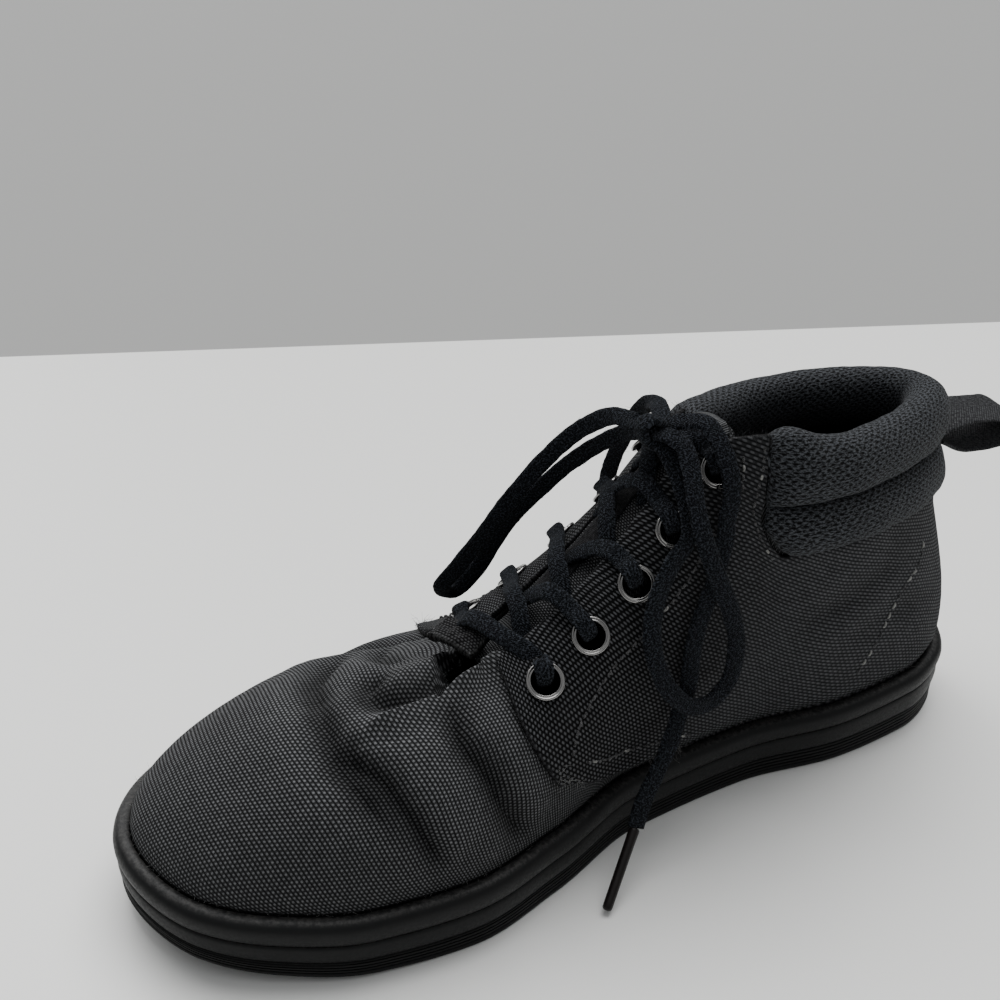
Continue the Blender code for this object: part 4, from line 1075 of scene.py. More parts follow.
def buildCollar():
    bend = np.r_[np.array((0, 0.12, 0.4, 0.9, 1.6, 2.5)) / 240, np.linspace(3.6 / 240, 0.5, 96)]
    outer, fabric = [], []
    for s in np.r_[bend, 1 - bend[::-1][1:]]:  # from the medial facing round the heel to the lateral one
        side = "medial" if s <= 0.5 else "lateral"
        f = 2 * min(s, 1 - s)
        middleTurn = 111.0 + (180 - 111.0) * f
        crown = float(lastPoint(float(turned(middleTurn, side)), 1.0)[2])
        fine, back, length = collarProfile(180 - middleTurn, crown)
        first = np.interp(fine[:, 0], collarShape["frontHeight"], collarShape["frontTurn"])
        turns = first + (180 - first) * f
        wall = lastPoint(turned(turns, side), levelOn(turned(turns, side), np.minimum(fine[:, 0], crown)))
        facing = unit(lastNormal(turned(turns, side), 0.85) * (1, 1, 0))
        end = f * 120.0
        puff = np.sqrt(np.clip(1 - (1 - np.clip(end / collarShape["roll"], 0, 1)) ** 2, 0, 1))
        base = np.where(fine[:, 1] > 0.5, 1.6, fine[:, 1] * 0.6)
        across = base + (fine[:, 1] - base) * puff
        column = wall + facing * across[:, None]
        column[:, 2] = fine[:, 0] - (1 - puff) * 1.5 * (fine[:, 0] > crown - 8)
        backTurn = float(turned(middleTurn, side))
        backWall = lastPoint(backTurn, levelOn(backTurn, np.minimum(back[:, 0], crown)))
        backFace = lastNormal(backTurn, 0.85) * (1, 1, 0)
        backFace = backFace / np.linalg.norm(backFace)
        rest = backWall + backFace * back[:, 1:2]
        rest[:, 2] = back[:, 0]
        outer.append(np.concatenate([column, rest]))
        laid = np.linspace(0, length, len(fine))
        fabric.append(np.r_[laid, laid[-1] + np.arange(1, 5) * 4.0])
    grid = np.array(outer).transpose(1, 0, 2)
    rows, columns = grid.shape[:2]
    run = runAlong(grid[45])
    place = paired((run, np.array(fabric).T))
    normal = unit(np.cross(np.gradient(grid, axis=1), np.gradient(grid, axis=0)))
    soft = np.zeros((rows, columns))
    soft[2:86] = 1
    grid = grid + normal * (soft * (0.35 * lumps(grid, 9.0, 4.0) + 0.12 * lumps(grid, 3.0, 8.0)))[..., None]
    faces = gridFaces(rows, columns, False, True)
    ends = [list(range(first, rows * columns, columns)) for first in (0, columns - 1)]
    faces += [ends[0][::-1], ends[1]]
    piece = makePiece("collar_padding", grid.reshape(-1, 3), faces, [collarMesh],
                      place.reshape(-1, 2))
    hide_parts("collar")


buildCollar()

print("tongue")

tongueTab = ((-44, 8.2, 61.0, 6.0, 0.8), (-40, 9.6, 63.0, 6.8, 0.8), (-33, 10.4, 66.0, 6.6, 0.8))
tabCorners = ((-3.6, -43.6, 64.6), (12.6, -39.6, 67.0), (15.4, -47.6, 66.0), (-1.2, -53.2, 64.8))
tongueUnder = ((81.0, 0.88, 1.1), (85.0, 0.74, 1.1), (90.0, 0.69, 1.0), (97.5, 0.7, 1.0), (105.0, 0.82, 1.6),
               (107.0, 0.86, 1.8), (108.7, 0.91, 1.8))
tongueTop = (33.5, 7.5, 120.5, 8.5, 2.5)
tongueThick = 3.0


def stripRow(y, x, z, half, drop):
    across = np.linspace(-1, 1, 9)
    return np.stack([x + half * across, y + 0 * across, z - drop * across ** 2], axis=-1)


def tongueMiddle():
    middle = [stripRow(*row) for row in tongueTab]
    for turn, edge, under in tongueUnder:
        depth = -(wallThick + under + tongueThick / 2)
        levels = np.array((edge, (edge + 1) / 2, 1.0))
        near, far = (lastShell(turned(turn, side), levels, depth) for side in bothSides)
        gap = np.linspace(0, 1, 5)[1:-1, None]
        bridge = far[2] + (near[2] - far[2]) * gap + np.array((0, -0.5, 1.2)) * (gap * (1 - gap)) * 4
        middle.append(np.concatenate([far, bridge, near[::-1]]))
    middle.append(stripRow(*tongueTop))
    middle = np.array(middle)
    run = runAlong(middle[:, 4])
    fine = smoothCurve(run, middle.reshape(len(middle), -1), np.linspace(0, run[-1], 110)).reshape(110, 9, 3)
    wide = smoothCurve(np.arange(9), fine.transpose(1, 0, 2).reshape(9, -1), np.linspace(0, 8, 45))
    return wide.reshape(45, 110, 3).transpose(1, 0, 2), run[-1]


def buildTongue():
    middle, length = tongueMiddle()
    rows, columns = middle.shape[:2]
    normal = unit(np.cross(np.gradient(middle, axis=1), np.gradient(middle, axis=0)))
    across = np.linspace(-1, 1, columns)[None, :]
    along = np.linspace(0, length, rows)[:, None]
    tab = ease((12 - along) / 8)
    half = tongueThick / 2 * np.clip(1 - across ** 6, 0, 1) ** 0.5 * np.clip(along / 1.5, 0.2, 1) ** 0.5
    half = half * (1 + 0.15 * tab) + 0.05
    crumple = tab * (1.5 * lumps(middle, 5.5, 3.3) + 0.8 * lumps(middle, 2.6, 1.3))
    crumple = crumple + 0.25 * lumps(middle, 6.0, 7.7)
    outer = middle + normal * (half + crumple)[..., None]
    inner = middle + normal * (-half + crumple)[..., None]
    faces = gridFaces(rows, columns)
    points, faces = closedSheet(outer.reshape(-1, 3), inner.reshape(-1, 3), faces)
    fabric = paired((across * 9.0, along))
    edge = np.minimum(np.broadcast_to(along, (rows, columns)), (1 - np.abs(across)) * 9.0 + 0 * along)
    piece = makePiece("tongue_padding", points, faces, [tongueCloth],
                      fabric.reshape(-1, 2), edge.ravel())
    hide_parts("tongue")
    # bare woven ribbon down the tongue
    near, far = int(rows * 0.27), int(rows * 0.93)
    strip = slice(13, 24)
    ribbon = outer[near:far, strip] + normal[near:far, strip] * 0.7
    under = outer[near:far, strip] - normal[near:far, strip] * 0.1
    r, c = ribbon.shape[:2]
    points, faces = closedSheet(ribbon.reshape(-1, 3), under.reshape(-1, 3), gridFaces(r, c))
    laid = paired((np.linspace(0, length * 0.66, r)[:, None], np.linspace(-4, 4, c)))
    makePiece("tongue_ribbon", points, faces, [threads["labelRibbon"]], laid.reshape(-1, 2))


def buildTongueTab():
    rows, columns = 34, 56
    down = (1 - np.cos(np.linspace(0, np.pi, rows))) / 2
    aside = (1 - np.cos(np.linspace(0, np.pi, columns))) / 2
    r, c = down[:, None, None], aside[None, :, None]
    a, b, d, e = (np.array(corner, float) for corner in tabCorners)
    middle = (a * (1 - c) + b * c) * (1 - r) + (e * (1 - c) + d * c) * r
    middle = middle + np.array((0, 0, 1.0)) * (1.6 * np.sin(c * np.pi) * (1 - 0.4 * r) - 1.2 * r ** 3)
    normal = unit(np.cross(np.gradient(middle, axis=1), np.gradient(middle, axis=0)))
    normal = normal * np.sign(normal[..., 2:3])
    border = np.minimum(np.minimum(down, 1 - down)[:, None] * 9.0, np.minimum(aside, 1 - aside) * 16.0)
    half = 1.95 * np.sqrt(np.clip(1 - (1 - np.clip(border / 1.3, 0, 1)) ** 2, 0.02, 1))
    crumple = 1.5 * lumps(middle, 5.0, 3.3) + 0.8 * lumps(middle, 2.3, 1.3)
    ragged = 0.5 * lumps(middle, 1.6, 6.1)[..., None] * (middle - middle.mean(axis=(0, 1))) / 6
    ragged = ragged * (border < 0.6)[..., None]
    outer = middle + ragged + normal * (half + crumple)[..., None]
    inner = middle + ragged + normal * (crumple - half)[..., None]
    faces = gridFaces(rows, columns)
    if np.cross(outer[0, 1] - outer[0, 0], outer[1, 0] - outer[0, 0])[2] < 0:
        faces = [face[::-1] for face in faces]
    points, faces = closedSheet(outer.reshape(-1, 3), inner.reshape(-1, 3), faces)
    fabric = paired((aside * 17.0, down[:, None] * 10.0))
    makePiece("tongue_tab", points, faces, [tabCloth],
              fabric.reshape(-1, 2), border.ravel())


buildTongue()
buildTongueTab()

print("heel trim")

pullLoop = {
    "line": ((129.0, 97.0), (133.2, 98.2), (140, 99.5), (150, 99.2), (160, 97.6), (167, 96.2), (170, 93.0),
             (166.5, 89.6), (158, 88.6), (148, 88.6), (140, 89.6), (133.6, 92.4), (129.5, 94.5)),
    "width": 19.0, "thick": 1.5, "lean": 0.16,
}


def evenRoute(points, step):
    points = np.array(points, float)
    keys = runAlong(points)
    fine = smoothCurve(keys, points, np.linspace(0, keys[-1], 600))
    run = runAlong(fine)
    even = np.linspace(0, run[-1], max(4, int(round(run[-1] / step)) + 1))
    return np.stack([np.interp(even, run, fine[:, k]) for k in range(fine.shape[1])], axis=1)


def roundedStrip(line, across, rise, width, thick, sides=16, flatness=0.35):
    angle = roundAngles(sides)
    wide = np.sign(np.cos(angle)) * np.abs(np.cos(angle)) ** flatness
    tall = np.sign(np.sin(angle)) * np.abs(np.sin(angle)) ** 0.8
    width, thick = (np.broadcast_to(np.asarray(part, float), (len(line),)) for part in (width, thick))
    loops = (line[:, None] + across[:, None] * wide[None, :, None] * width[:, None, None] / 2
             + rise[:, None] * tall[None, :, None] * thick[:, None, None] / 2)
    stations, size = loops.shape[:2]
    faces = gridFaces(stations, size, True)
    faces += [list(range(size))[::-1], list(range((stations - 1) * size, stations * size))]
    run = runAlong(line)
    laid = paired((run[:, None], wide * width[:, None] / 2))
    edge = (1 - np.abs(wide[None])) * width[:, None] / 2
    return loops.reshape(-1, 3), faces, laid.reshape(-1, 2), edge.ravel()


def buildPullLoop():
    line = evenRoute(pullLoop["line"], 1.2)
    along = unit(np.gradient(line, axis=0))
    lean = pullLoop["lean"] * np.clip((line[:, 0] - 133) / 37, 0, 1)
    centre = np.stack([1 + 0 * line[:, 0], line[:, 0], line[:, 1]], axis=1)
    across = unit(np.stack([1 + 0 * lean, 0 * lean, -lean], axis=1))
    rise = unit(np.cross(np.stack([0 * lean, along[:, 0], along[:, 1]], axis=1), across))
    width, thick = pullLoop["width"], pullLoop["thick"]
    points, faces, laid, edge = roundedStrip(centre, across, rise, width, thick, 28, 0.3)
    points = points + 0.25 * lumps(points, 5.0, 2.2)[:, None]
    piece = makePiece("pull_loop_webbing", points, faces, [threads["webbing"]], laid, edge)
    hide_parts("pull_loop")


def buildBackstay():
    heights = np.linspace(0.0, 1, 60)[:, None]
    across = np.linspace(-1, 1, 21)[None, :]
    turns = 180 + 5.2 * across + 0 * heights
    levels = heights * levelOn(turns, 81.2)
    roll = np.sqrt(np.clip(1 - np.abs(across) ** 5, 0, 1))
    outer = lastShell(turns, levels, touch + quarterThick + 0.2 + 1.3 * roll * ease(heights / 0.03 + 0.2))
    inner = lastShell(turns, levels, touch + quarterThick + 0.1)
    points, faces = closedSheet(outer.reshape(-1, 3), inner.reshape(-1, 3), gridFaces(*outer.shape[:2]))
    laid = paired((heights * 62, across * 6.5))
    edge = np.broadcast_to((1 - np.abs(across)) * 6.5, (60, 21))
    piece = makePiece("backstay_tape", points, faces, [threads["webbing"]],
                      laid.reshape(-1, 2), edge.ravel())
    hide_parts("backstay")


buildPullLoop()
buildBackstay()

print("eyelets")

# flange from under its rim over both rolls into the barrel: radius and height over the quarter
eyeletRing = (
    (5.2, 0.05), (5.42, 0.3), (5.45, 0.6), (5.3, 0.95), (5.05, 1.1), (4.8, 1.02), (4.62, 0.86), (4.48, 0.98),
    (4.3, 1.12), (4.1, 1.05), (3.95, 0.7), (3.9, 0.0), (3.9, -1.5), (3.9, -3.0), (4.2, -3.0), (4.2, -0.2),
)


def buildEyelets():
    sides = 56
    angle = roundAngles(sides)
    profile = np.array(eyeletRing)
    for side in bothSides:
        for place in range(len(eyelets)):
            centre, normal = eyeletPlace(side, place)
            toThroat = unit(lastPoint(float(turned(eyelets[place][0], side)), 1.0) - centre)
            right = unit(np.cross(normal, toThroat))
            ahead = np.cross(normal, right)
            ring = np.cos(angle)[:, None, None] * right + np.sin(angle)[:, None, None] * ahead
            points = centre + ring * profile[None, :, 0:1] + normal * profile[None, :, 1:2]
            faces = [face[::-1] for face in gridFaces(sides, len(profile), True, True)]
            name = f"eyelet_{side}_{place + 1}"
            piece = makePiece(name + "_ring", points.reshape(-1, 3), faces, [darkNickel])
            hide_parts(name)


buildEyelets()

print("laces")

laceSize = {"width": 5.4, "thick": 2.0, "step": 1.1, "sides": 18, "holeWidths": [5.4, 5.2, 4.8, 4.6]}


def lacePiece(route, facings, widths=None, thicks=None, seed=1.0):
    route = np.array(route, float)
    line = evenRoute(route, laceSize["step"])
    keys = runAlong(route)
    run = np.linspace(0, keys[-1], len(line))
    facing = smoothCurve(keys, np.array(facings, float), run)
    width = np.interp(run, keys, widths or [laceSize["width"]] * len(keys))
    thick = np.interp(run, keys, thicks or [laceSize["thick"]] * len(keys))
    along = unit(np.gradient(line, axis=0))
    across = unit(np.cross(along, facing))
    rise = np.cross(across, along)
    width = width * (1 + 0.05 * lumps(line, 9.0, seed))
    points, faces, laid, _ = roundedStrip(line, across, rise, width, thick, laceSize["sides"], 0.62)
    rough = 0.14 * lumps(points, 1.7, seed + 3) + 0.16 * lumps(points, 4.0, seed)
    points = points + unit(points - np.repeat(line, laceSize["sides"], axis=0)) * rough[:, None]
    return points, faces, laid, line


def outTowards(x):
    way = np.array((np.clip((x - 8) / 20, -1, 1) * 0.8, -0.4, 0.62))
    return way / np.linalg.norm(way)


def intoHole(side, place, before):
    centre, normal = eyeletPlace(side, place)
    entry = np.array(before, float)
    way = centre - entry
    way = unit(way - normal * (way @ normal))
    # over the flange, then down the barrel
    top = centre + normal * 2.9 - way * 3.9
    lipPoint = centre + normal * 2.2 - way * 2.0
    bend = centre + normal * 0.6 - way * 0.6
    end = centre - normal * 3.2 - way * 0.3
    facings = [normal + way * 0.2, normal + way * 0.6, normal + way, way + normal * 0.1]
    return [top, lipPoint, bend, end], facings


def settledRoute(route):
    route = np.array(route, float)
    route[:, 2] += 1.3 * farSag(route)
    return list(route)


def crossingStrap(side, place):
    route = settledRoute(strapRoutes[side, place])
    facings = [outTowards(p[0]) for p in route]
    tail, tailFacing = intoHole(side, place, route[-1])
    count = len(route)
    widths = [laceSize["width"]] * count + laceSize["holeWidths"]
    thicks = [laceSize["thick"]] * count + [2.1, 2.3, 2.7, 2.9]
    seed = place + (0.5 if side == "medial" else 4)
    return lacePiece(route + tail, facings + tailFacing, widths, thicks, seed)


# each strap from under the throat over to its eyelet
strapRoutes = {
    ("medial", 1): ((2, -27, 66.5), (5.5, -27.8, 70.6), (9, -27, 75.5), (13, -25.6, 79.2), (17, -25.2, 82.0),
                    (21.5, -23.2, 81.4), (25, -21.8, 79.6)),
    ("medial", 2): ((1, -11, 77), (4, -12, 81), (8, -10.9, 85.2), (12, -8.6, 88.6), (16, -7.2, 90.9),
                    (20, -6.2, 91.6), (23.5, -5.2, 90.3)),
    ("medial", 3): ((-1, 2, 96.5), (2.5, 3.4, 101.8), (6.5, 5.2, 105.2), (11, 6.6, 107.0), (15, 7.4, 106.8),
                    (19, 8.2, 104.4)),
    ("medial", 4): ((-2, 15, 108.5), (2, 17, 112.5), (7, 19.5, 116.5), (12, 21.5, 119.2), (16, 23, 118.8),
                    (19, 24, 116.8)),
    ("lateral", 1): ((19, -32.8, 68.6), (16.5, -32.4, 71.8), (13, -31.6, 75.4), (8, -30.6, 77.6),
                     (3, -28.6, 78.6), (-1, -26.2, 79.2), (-5, -24, 78.9)),
    ("lateral", 2): ((18, -19.5, 76.2), (15.5, -19.2, 79.8), (12, -18.2, 83.0), (8, -16.8, 85.6),
                     (4, -14.6, 88.2), (0, -12, 90.2), (-4, -9.4, 90.6)),
    ("lateral", 3): ((16, -5, 88), (13.5, -4, 92), (10, -2.2, 96.2), (6, 0.2, 99.8), (2, 3.0, 103.0),
                     (-2, 5.6, 104.2), (-5.5, 7.2, 102.8)),
    ("lateral", 4): ((14, 8, 100), (11.5, 9.6, 104), (8, 12, 108.6), (4, 15, 112.4), (0, 18, 114.6),
                     (-4, 21, 115.0), (-6.5, 22.6, 113.4)),
}
barRoute = ((28.2, -33.0, 67.6), (25, -35.2, 69.6), (21, -37.6, 71.0), (17, -39.6, 71.9), (11, -41.8, 72.6),
            (6, -43.2, 72.8), (2, -43.6, 72.2), (-1.5, -43.0, 70.6), (-5, -41.2, 69.4), (-9, -38.6, 68.0),
            (-12.5, -36.2, 66.6))


def bottomBar():
    bar = settledRoute(barRoute)
    head, headFacing = intoHole("medial", 0, bar[0])
    tail, tailFacing = intoHole("lateral", 0, bar[-1])
    facings = headFacing[::-1] + [outTowards(p[0]) for p in barRoute] + tailFacing
    ends, thickEnds, count = laceSize["holeWidths"], [2.1, 2.4, 2.9, 3.0], len(barRoute)
    return lacePiece(head[::-1] + bar + tail, facings, ends[::-1] + [laceSize["width"]] * count + ends,
                     thickEnds[::-1] + [2.1] * count + thickEnds, 7.7)


def makeLace(name, pieces, stands):
    points, faces = joined([piece[:2] for piece in pieces])
    laid = np.concatenate([piece[2] for piece in pieces])
    lace = makePiece(name, points, faces, [threads["laceCotton"]], laid)
    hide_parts(stands)
    return lace


def buildCrossings():
    for place in range(1, 5):
        pieces = [crossingStrap(side, place) for side in bothSides]
        if place == 1:
            pieces.append(bottomBar())
        makeLace(f"lace_straps_{place}", pieces, f"lace_crossing_{place}")


buildCrossings()

# bow: routes from the knot outward and back, the same as the solids'
bowRoutes = {
    "loop_medial": ((18, 12.2, 121.9), (20.8, 14, 120.2), (24.6, 13.7, 116.4), (30.7, 12.4, 108.1),
                    (34.5, 12.5, 101.3), (38.6, 15.4, 90.1), (40.3, 19.6, 80.2), (41.3, 23.1, 70.8),
                    (41.7, 24.5, 62.1), (41.7, 23.1, 52), (42.6, 16.6, 47.6), (43.3, 9.5, 48.6),
                    (43, 3.2, 54), (41.7, -2.2, 63.4), (39.4, -4.3, 73.2), (36.7, -2.4, 81.8),
                    (34.7, 0.8, 86.9), (32.8, 5.8, 92.6), (31.2, 11, 97.8), (29.2, 12, 102.6),
                    (24.6, 12.2, 109.2), (19.4, 11.8, 115), (17.2, 11.4, 117)),
    "end_medial": ((14.5, 17.5, 124.5), (19, 22, 125.2), (24.6, 23.4, 120.8), (28.9, 24.5, 113.9),
                    (31, 24.5, 107.2), (32.4, 22.7, 101), (33.7, 21.8, 95.5), (34.8, 20, 90.1),
                    (36.5, 17.1, 82), (37.9, 13, 74), (38.9, 10.9, 65.1), (39.4, 10.4, 53.4),
                    (39.8, 8.3, 44.8), (43, 3.6, 38.5), (45.6, -2.2, 31), (47.3, -7.2, 23.5),
                    (49, -10.5, 16.5)),
    "loop_lateral": ((3.5, 9.5, 121.5), (-5, 7.5, 120), (-13, 3, 114), (-18, -3, 106), (-22, -9, 96.5),
                     (-27.5, -15.5, 83), (-34, -20.5, 69), (-40, -25, 57), (-44, -27.5, 49),
                     (-45.5, -22, 46), (-44.5, -15, 52), (-41, -10, 64), (-36, -6, 75.5), (-29, -1, 87),
                     (-22, 4, 97.5), (-13.5, 9, 107), (-5.5, 12, 113.5), (2, 12.5, 117.5)),
    "end_lateral": ((7.9, 15.7, 120.7), (-3, 22, 121.5), (-14, 26, 117), (-24, 29, 108), (-32, 31, 97),
                    (-38.5, 32, 85), (-42.5, 33, 73), (-44.5, 34, 61)),
}
aglets = {
    "medial": ((49.4, -11.3, 15.4), (60.5, -26.5, 1.8)),
    "lateral": ((-44.8, 34.2, 60.2), (-46.5, 36.0, 39.5)),
}


def buildAglet(side):
    start, end = (np.array(p, float) for p in aglets[side])
    way = unit(end - start)
    right = unit(np.cross(way, (0, 0, 1.0)))
    above = np.cross(right, way)
    length = float(np.linalg.norm(end - start))
    rows = ((-1.0, 1.3), (-0.5, 1.62), (0.0, 1.6), (0.15 * length, 1.5), (0.5 * length, 1.46),
            (0.9 * length, 1.44), (length - 0.6, 1.4), (length - 0.15, 1.1), (length, 0.6))
    angle = roundAngles(24)[:, None]
    ring = np.cos(angle) * right + np.sin(angle) * above
    rings = np.array([start + way * far + ring * radius for far, radius in rows])
    faces = gridFaces(len(rows), 24, True)
    faces += [list(range(24))[::-1], list(range((len(rows) - 1) * 24, len(rows) * 24))]
    piece = makePiece(f"aglet_{side}_tip", rings.reshape(-1, 3), faces, [agletFilm], crisp=60)
    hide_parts(f"aglet_{side}")
    return piece


def buildBow():
    tips = {side: buildAglet(side) for side in bothSides}
    for name, route in bowRoutes.items():
        form, side = name.split("_")
        facings = []
        for point in route:
            level = ease((point[2] - 108) / 16)
            if side == "lateral":
                facings.append(unit(np.array((0.8, -0.6, 0.05 + 0.8 * level))))
            else:
                facings.append(unit(np.array((1 - 0.6 * level, -0.25, 0.15 + 0.9 * level))))
        lace = lacePiece(route, facings, seed=len(name) + (3.0 if side == "medial" else 1.0))
        piece = makeLace("lace_" + name + "_cord", [lace], "lace_" + name)
        form == "loop"


def buildKnot():
    centre = np.array((11, 10.5, 121.0))
    lean = math.radians(-50)
    front = np.array((0, math.cos(lean), math.sin(lean)))
    above = np.array((0, -math.sin(lean), math.cos(lean)))
    angle = np.linspace(0.2, 2 * np.pi + 0.9, 26)
    wrap = [centre + front * 5.0 * math.cos(a) + above * 3.3 * math.sin(a) + (0.5 * (a / 6.3) - 0.2, 0, 0)
            for a in angle]
    pieces = [(wrap, [front * math.cos(a) + above * math.sin(a) for a in angle], 5.4, 2.4)]
    for name, route in bowRoutes.items():
        ends = [(route[0], route[1])] + ([(route[-1], route[-2])] if name.startswith("loop") else [])
        for first, second in ends:
            first, way = np.array(first, float), unit(np.array(first, float) - second)
            hidden = centre + unit(first - centre) * 1.5
            pieces.append(([first - way * 0.8, first + way * 0.6, (first + way * 1.5 + hidden) / 2, hidden],
                           [(0.3, -0.3, 0.9)] * 4, laceSize["width"], 2.0))
    for side, start in (("medial", (14.5, 22.5, 113.5)), ("lateral", (-2.0, 20.5, 111.0))):
        sign = 1 if side == "medial" else -1
        edge = lastPoint(float(turned(105.6, side)), 1.0)
        route = [np.array(start), edge + (0, -1.0, 2.4), centre + (sign * 3.0, 3.5, -3.0), centre]
        pieces.append((route, [(0.2 * sign, -0.5, 0.8)] * 4, laceSize["width"], 2.0))
    makeLace("lace_bow_knot", [lacePiece(route, facing, [wide] * len(route), [thick] * len(route), 5.5)
                               for route, facing, wide, thick in pieces], "lace_knot")


buildBow()
buildKnot()

print("stitches, frayed edges and lint")


def stitchRun(line, normals, size):
    run = runAlong(line)
    parts, laid = [], []
    count = int((run[-1] - size["long"]) / size["pitch"])
    angle = np.arange(6) * np.pi / 3
    for k in range(count):
        start = k * size["pitch"] + random.uniform(-0.15, 0.15)
        at = start + np.array((0.0, 0.12, 0.3, 0.5, 0.7, 0.88, 1.0)) * size["long"]
        middle = np.stack([np.interp(at, run, line[:, j]) for j in range(3)], axis=1)
        facing = unit(np.stack([np.interp(at, run, normals[:, j]) for j in range(3)], axis=1))
        rise = np.array((-0.45, -0.1, 0.12, 0.18, 0.12, -0.1, -0.45)) * size["thick"] * 2.2
        way = unit(middle[-1:] - middle[:1])
        side = unit(np.cross(facing, way))
        middle = middle + facing * rise[:, None] + side * random.uniform(-0.12, 0.12)
        wide = size["thick"] * np.array((0.6, 0.9, 1, 1, 1, 0.9, 0.6))
        rings = (middle[:, None] + side[:, None] * np.cos(angle)[None, :, None] * wide[:, None, None]
                 + facing[:, None] * np.sin(angle)[None, :, None] * wide[:, None, None])
        faces = gridFaces(7, 6, True) + [list(range(6))[::-1], list(range(36, 42))]
        parts.append((rings.reshape(-1, 3), faces))
        laid.append(paired((at[:, None], angle * 0.2)).reshape(-1, 2) + (k * 3.7, 0))
    return parts, laid


def quarterFace(turns, levels, side, lift=0.2):
    turns = turned(turns, side)
    base, normals = lastPoint(turns, levels), lastNormal(turns, levels)
    bend, offset = quarterOffset(np.full(len(base), 9.0), base, normals)
    return base + normals * (bend + offset + lift + farSag(base))[:, None], normals


quarterStitches = {
    "hem": ((98.0, 0.06), (90.9, 0.112), (84.4, 0.178), (78.4, 0.292)),
    "eyestay": ((77.3, 0.345), (77.7, 0.405), (79.2, 0.472), (82.2, 0.53), (85.4, 0.561), (89.0, 0.572),
                (94.0, 0.59), (99.0, 0.622), (104.0, 0.668), (107.4, 0.74), (108.6, 0.83), (109.3, 0.93),
                (109.6, 0.97)),
    "strip": ((111.2, 0.96), (110.6, 0.87), (109.3, 0.76), (108.4, 0.68), (109.2, 0.58), (110.4, 0.535)),
    "heel": ((149.5, 0.5), (146.8, 0.457), (138.6, 0.391), (132.4, 0.288), (127.7, 0.18), (123.1, 0.053)),
}


stitchSizes = {
    "hem": {"pitch": 2.7, "long": 1.9, "thick": 0.38, "pale": 0.12},  # pale is the share of pale stitches
    "heel": {"pitch": 3.4, "long": 2.3, "thick": 0.34, "pale": 0.4},
}


def buildStitches():
    for side in bothSides:
        dark, pale = [], []
        for key, path in quarterStitches.items():
            line, normals = quarterFace(*smoothPath(path), side)
            size = stitchSizes.get(key, stitchSizes["hem"])
            for part in zip(*stitchRun(line, normals, size)):
                (pale if random.random() < size["pale"] else dark).append(part)
        for name, rows, material in (("grey", dark, "threadGrey"), ("pale", pale, "threadPale")):
            points, faces = joined([part for part, _ in rows])
            makePiece(f"stitches_{side}_{name}", points, faces, [threads[material]],
                      np.concatenate([some for _, some in rows]))


# spread of the roots, how far they stand up, bend, length, thickness
hairLooks = {
    "frontEdge": {"spread": 0.25, "up": 0.8, "bend": 0.6, "length": 1.1, "thick": 0.06},
    "frontCorner": {"spread": 0.9, "up": 0.5, "bend": 0.9, "length": 1.3, "thick": 0.06},
    "topEdge": {"spread": 0.3, "up": 1.6, "bend": 0.5, "length": 1.6, "thick": 0.07},
    "tier": {"spread": 0.3, "up": 0.8, "bend": 0.6, "length": 0.9, "thick": 0.06},
    "lip": {"spread": 0.3, "up": 0.8, "bend": 0.8, "length": 1.0, "thick": 0.055},
    "toe": {"spread": 0.8, "up": 1.4, "bend": 0.5, "length": 3.0, "thick": 0.05},
    "waist": {"spread": 0.5, "up": 0.6, "bend": 0.9, "length": 1.4, "thick": 0.06},
    "lace": {"spread": 0.05, "up": 1.1, "bend": 0.7, "length": 0.8, "thick": 0.045},
}


def hairs(line, normals, count, look):
    look = hairLooks[look]
    stations = np.linspace(0, 1, 5)
    angle = roundAngles(3)
    parts = []
    for _ in range(count):
        k = random.integers(0, len(line))
        root = line[k] + random.normal(0, look["spread"], 3)
        way = unit(normals[k] * look["up"] + random.normal(0, 1, 3))
        bend = random.normal(0, look["bend"], 3)
        length = look["length"] * random.uniform(0.4, 1.3)
        middle = root + way * stations[:, None] * length + bend * (stations ** 2)[:, None] * length
        along = unit(np.gradient(middle, axis=0))
        side = unit(np.cross(along, (0.31, 0.52, 0.8)))
        above = np.cross(side, along)
        wide = look["thick"] * (1 - 0.6 * stations)
        rings = (middle[:, None] + (side[:, None] * np.cos(angle)[None, :, None]
                                    + above[:, None] * np.sin(angle)[None, :, None]) * wide[:, None, None])
        parts.append((rings.reshape(-1, 3), gridFaces(5, 3, True) + [[2, 1, 0], [12, 13, 14]]))
    return parts


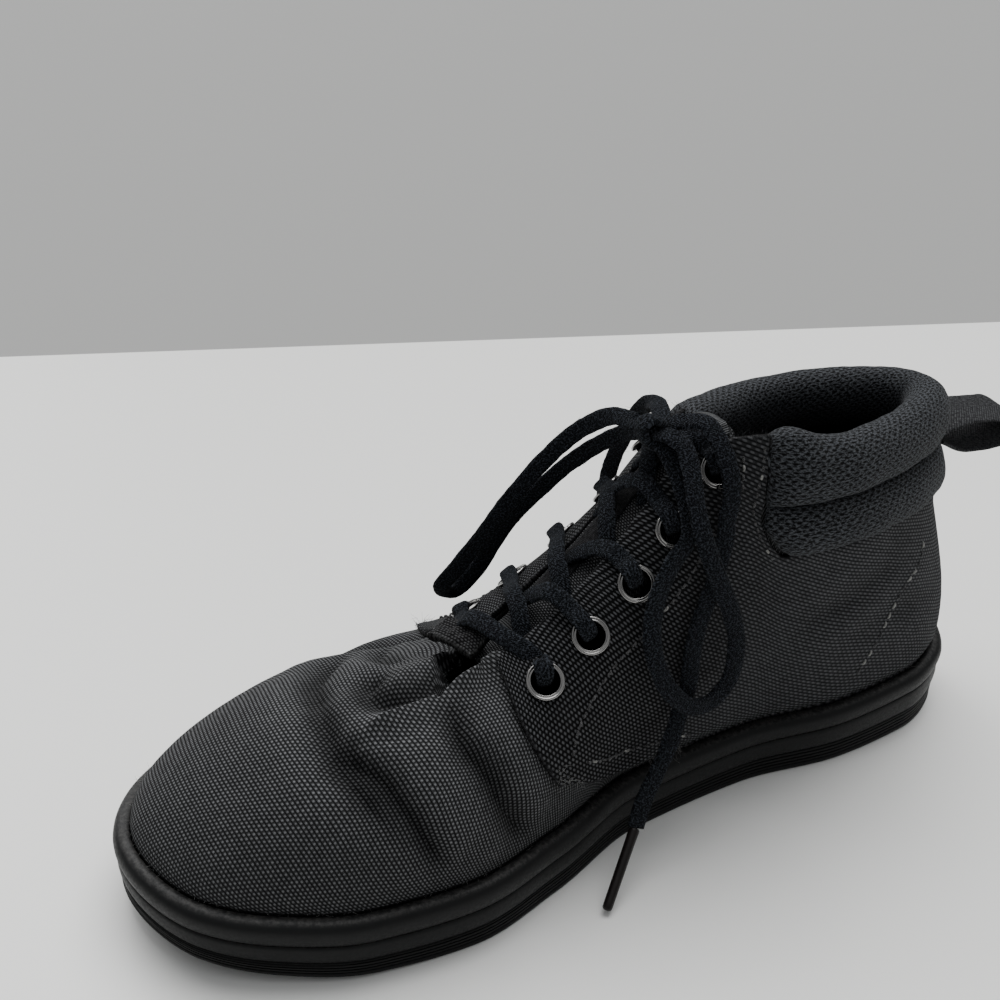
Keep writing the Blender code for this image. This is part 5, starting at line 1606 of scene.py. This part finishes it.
def buildFrays():
    frayed, lint = [], []
    for side in bothSides:
        down = np.linspace(1, 0.02, 120)
        line, normals = quarterFace(leftOf(down) + 0.15, down, side, 0.0)
        frayed += hairs(line, normals, 260, "frontEdge")
        corner = np.linspace(0.34, 0.2, 40)
        line, normals = quarterFace(leftOf(corner) + 1.2, corner, side, 0.1)
        lint += hairs(line, normals, 70, "frontCorner")
        top = np.linspace(106.5, 111.6, 60)
        line, normals = quarterFace(top, np.full(60, 0.995), side, 0.0)
        frayed += hairs(line, np.array((0, 0, 1.0)) + 0.3 * normals, 90, "topEdge")
        turns = tierEdge["turn"][0] + 68 * np.linspace(0, 1, 80)
        line, normals = quarterFace(turns, steadyCurve(tierEdge["turn"], tierEdge["v"], turns), side, -0.2)
        frayed += hairs(line, normals, 150, "tier")
    lip, toe, waist = np.linspace(-178, 178, 900), np.linspace(-36, -20, 40), np.linspace(92, 97, 30)
    lint += hairs(lastPoint(lip, 0.004), lastNormal(lip, 0.02), 420, "lip")
    lint += hairs(lastPoint(toe, 0.004), lastNormal(toe, 0.02) * (1, 1, 0.2), 40, "toe")
    away = lastNormal(waist, 0.03)
    lint += hairs(lastPoint(waist, 0.02) + 1.2 * away, away, 60, "waist")
    for name, parts, material in (("frayed_edges", frayed, "darkFibre"), ("edge_lint", lint, "lintFibre")):
        points, faces = joined(parts)
        makePiece(name, points, faces, [threads[material]], points[:, :2])


def buildFuzz():
    parts = []
    for lace in list(bpy.data.objects):
        name = lace.name
        if not (name.endswith("_cord") or name.startswith("lace_straps") or name == "lace_bow_knot"):
            continue
        mesh = lace.data
        points, normals = np.empty(len(mesh.vertices) * 3), np.empty(len(mesh.vertices) * 3)
        mesh.vertices.foreach_get("co", points)
        mesh.vertices.foreach_get("normal", normals)
        count = 620 if name.endswith("_cord") else 380
        parts += hairs(points.reshape(-1, 3) / mm, normals.reshape(-1, 3), count, "lace")
    points, faces = joined(parts)
    makePiece("lace_fuzz", points, faces, [threads["darkFibre"]], points[:, :2])


buildStitches()
buildFrays()
buildFuzz()
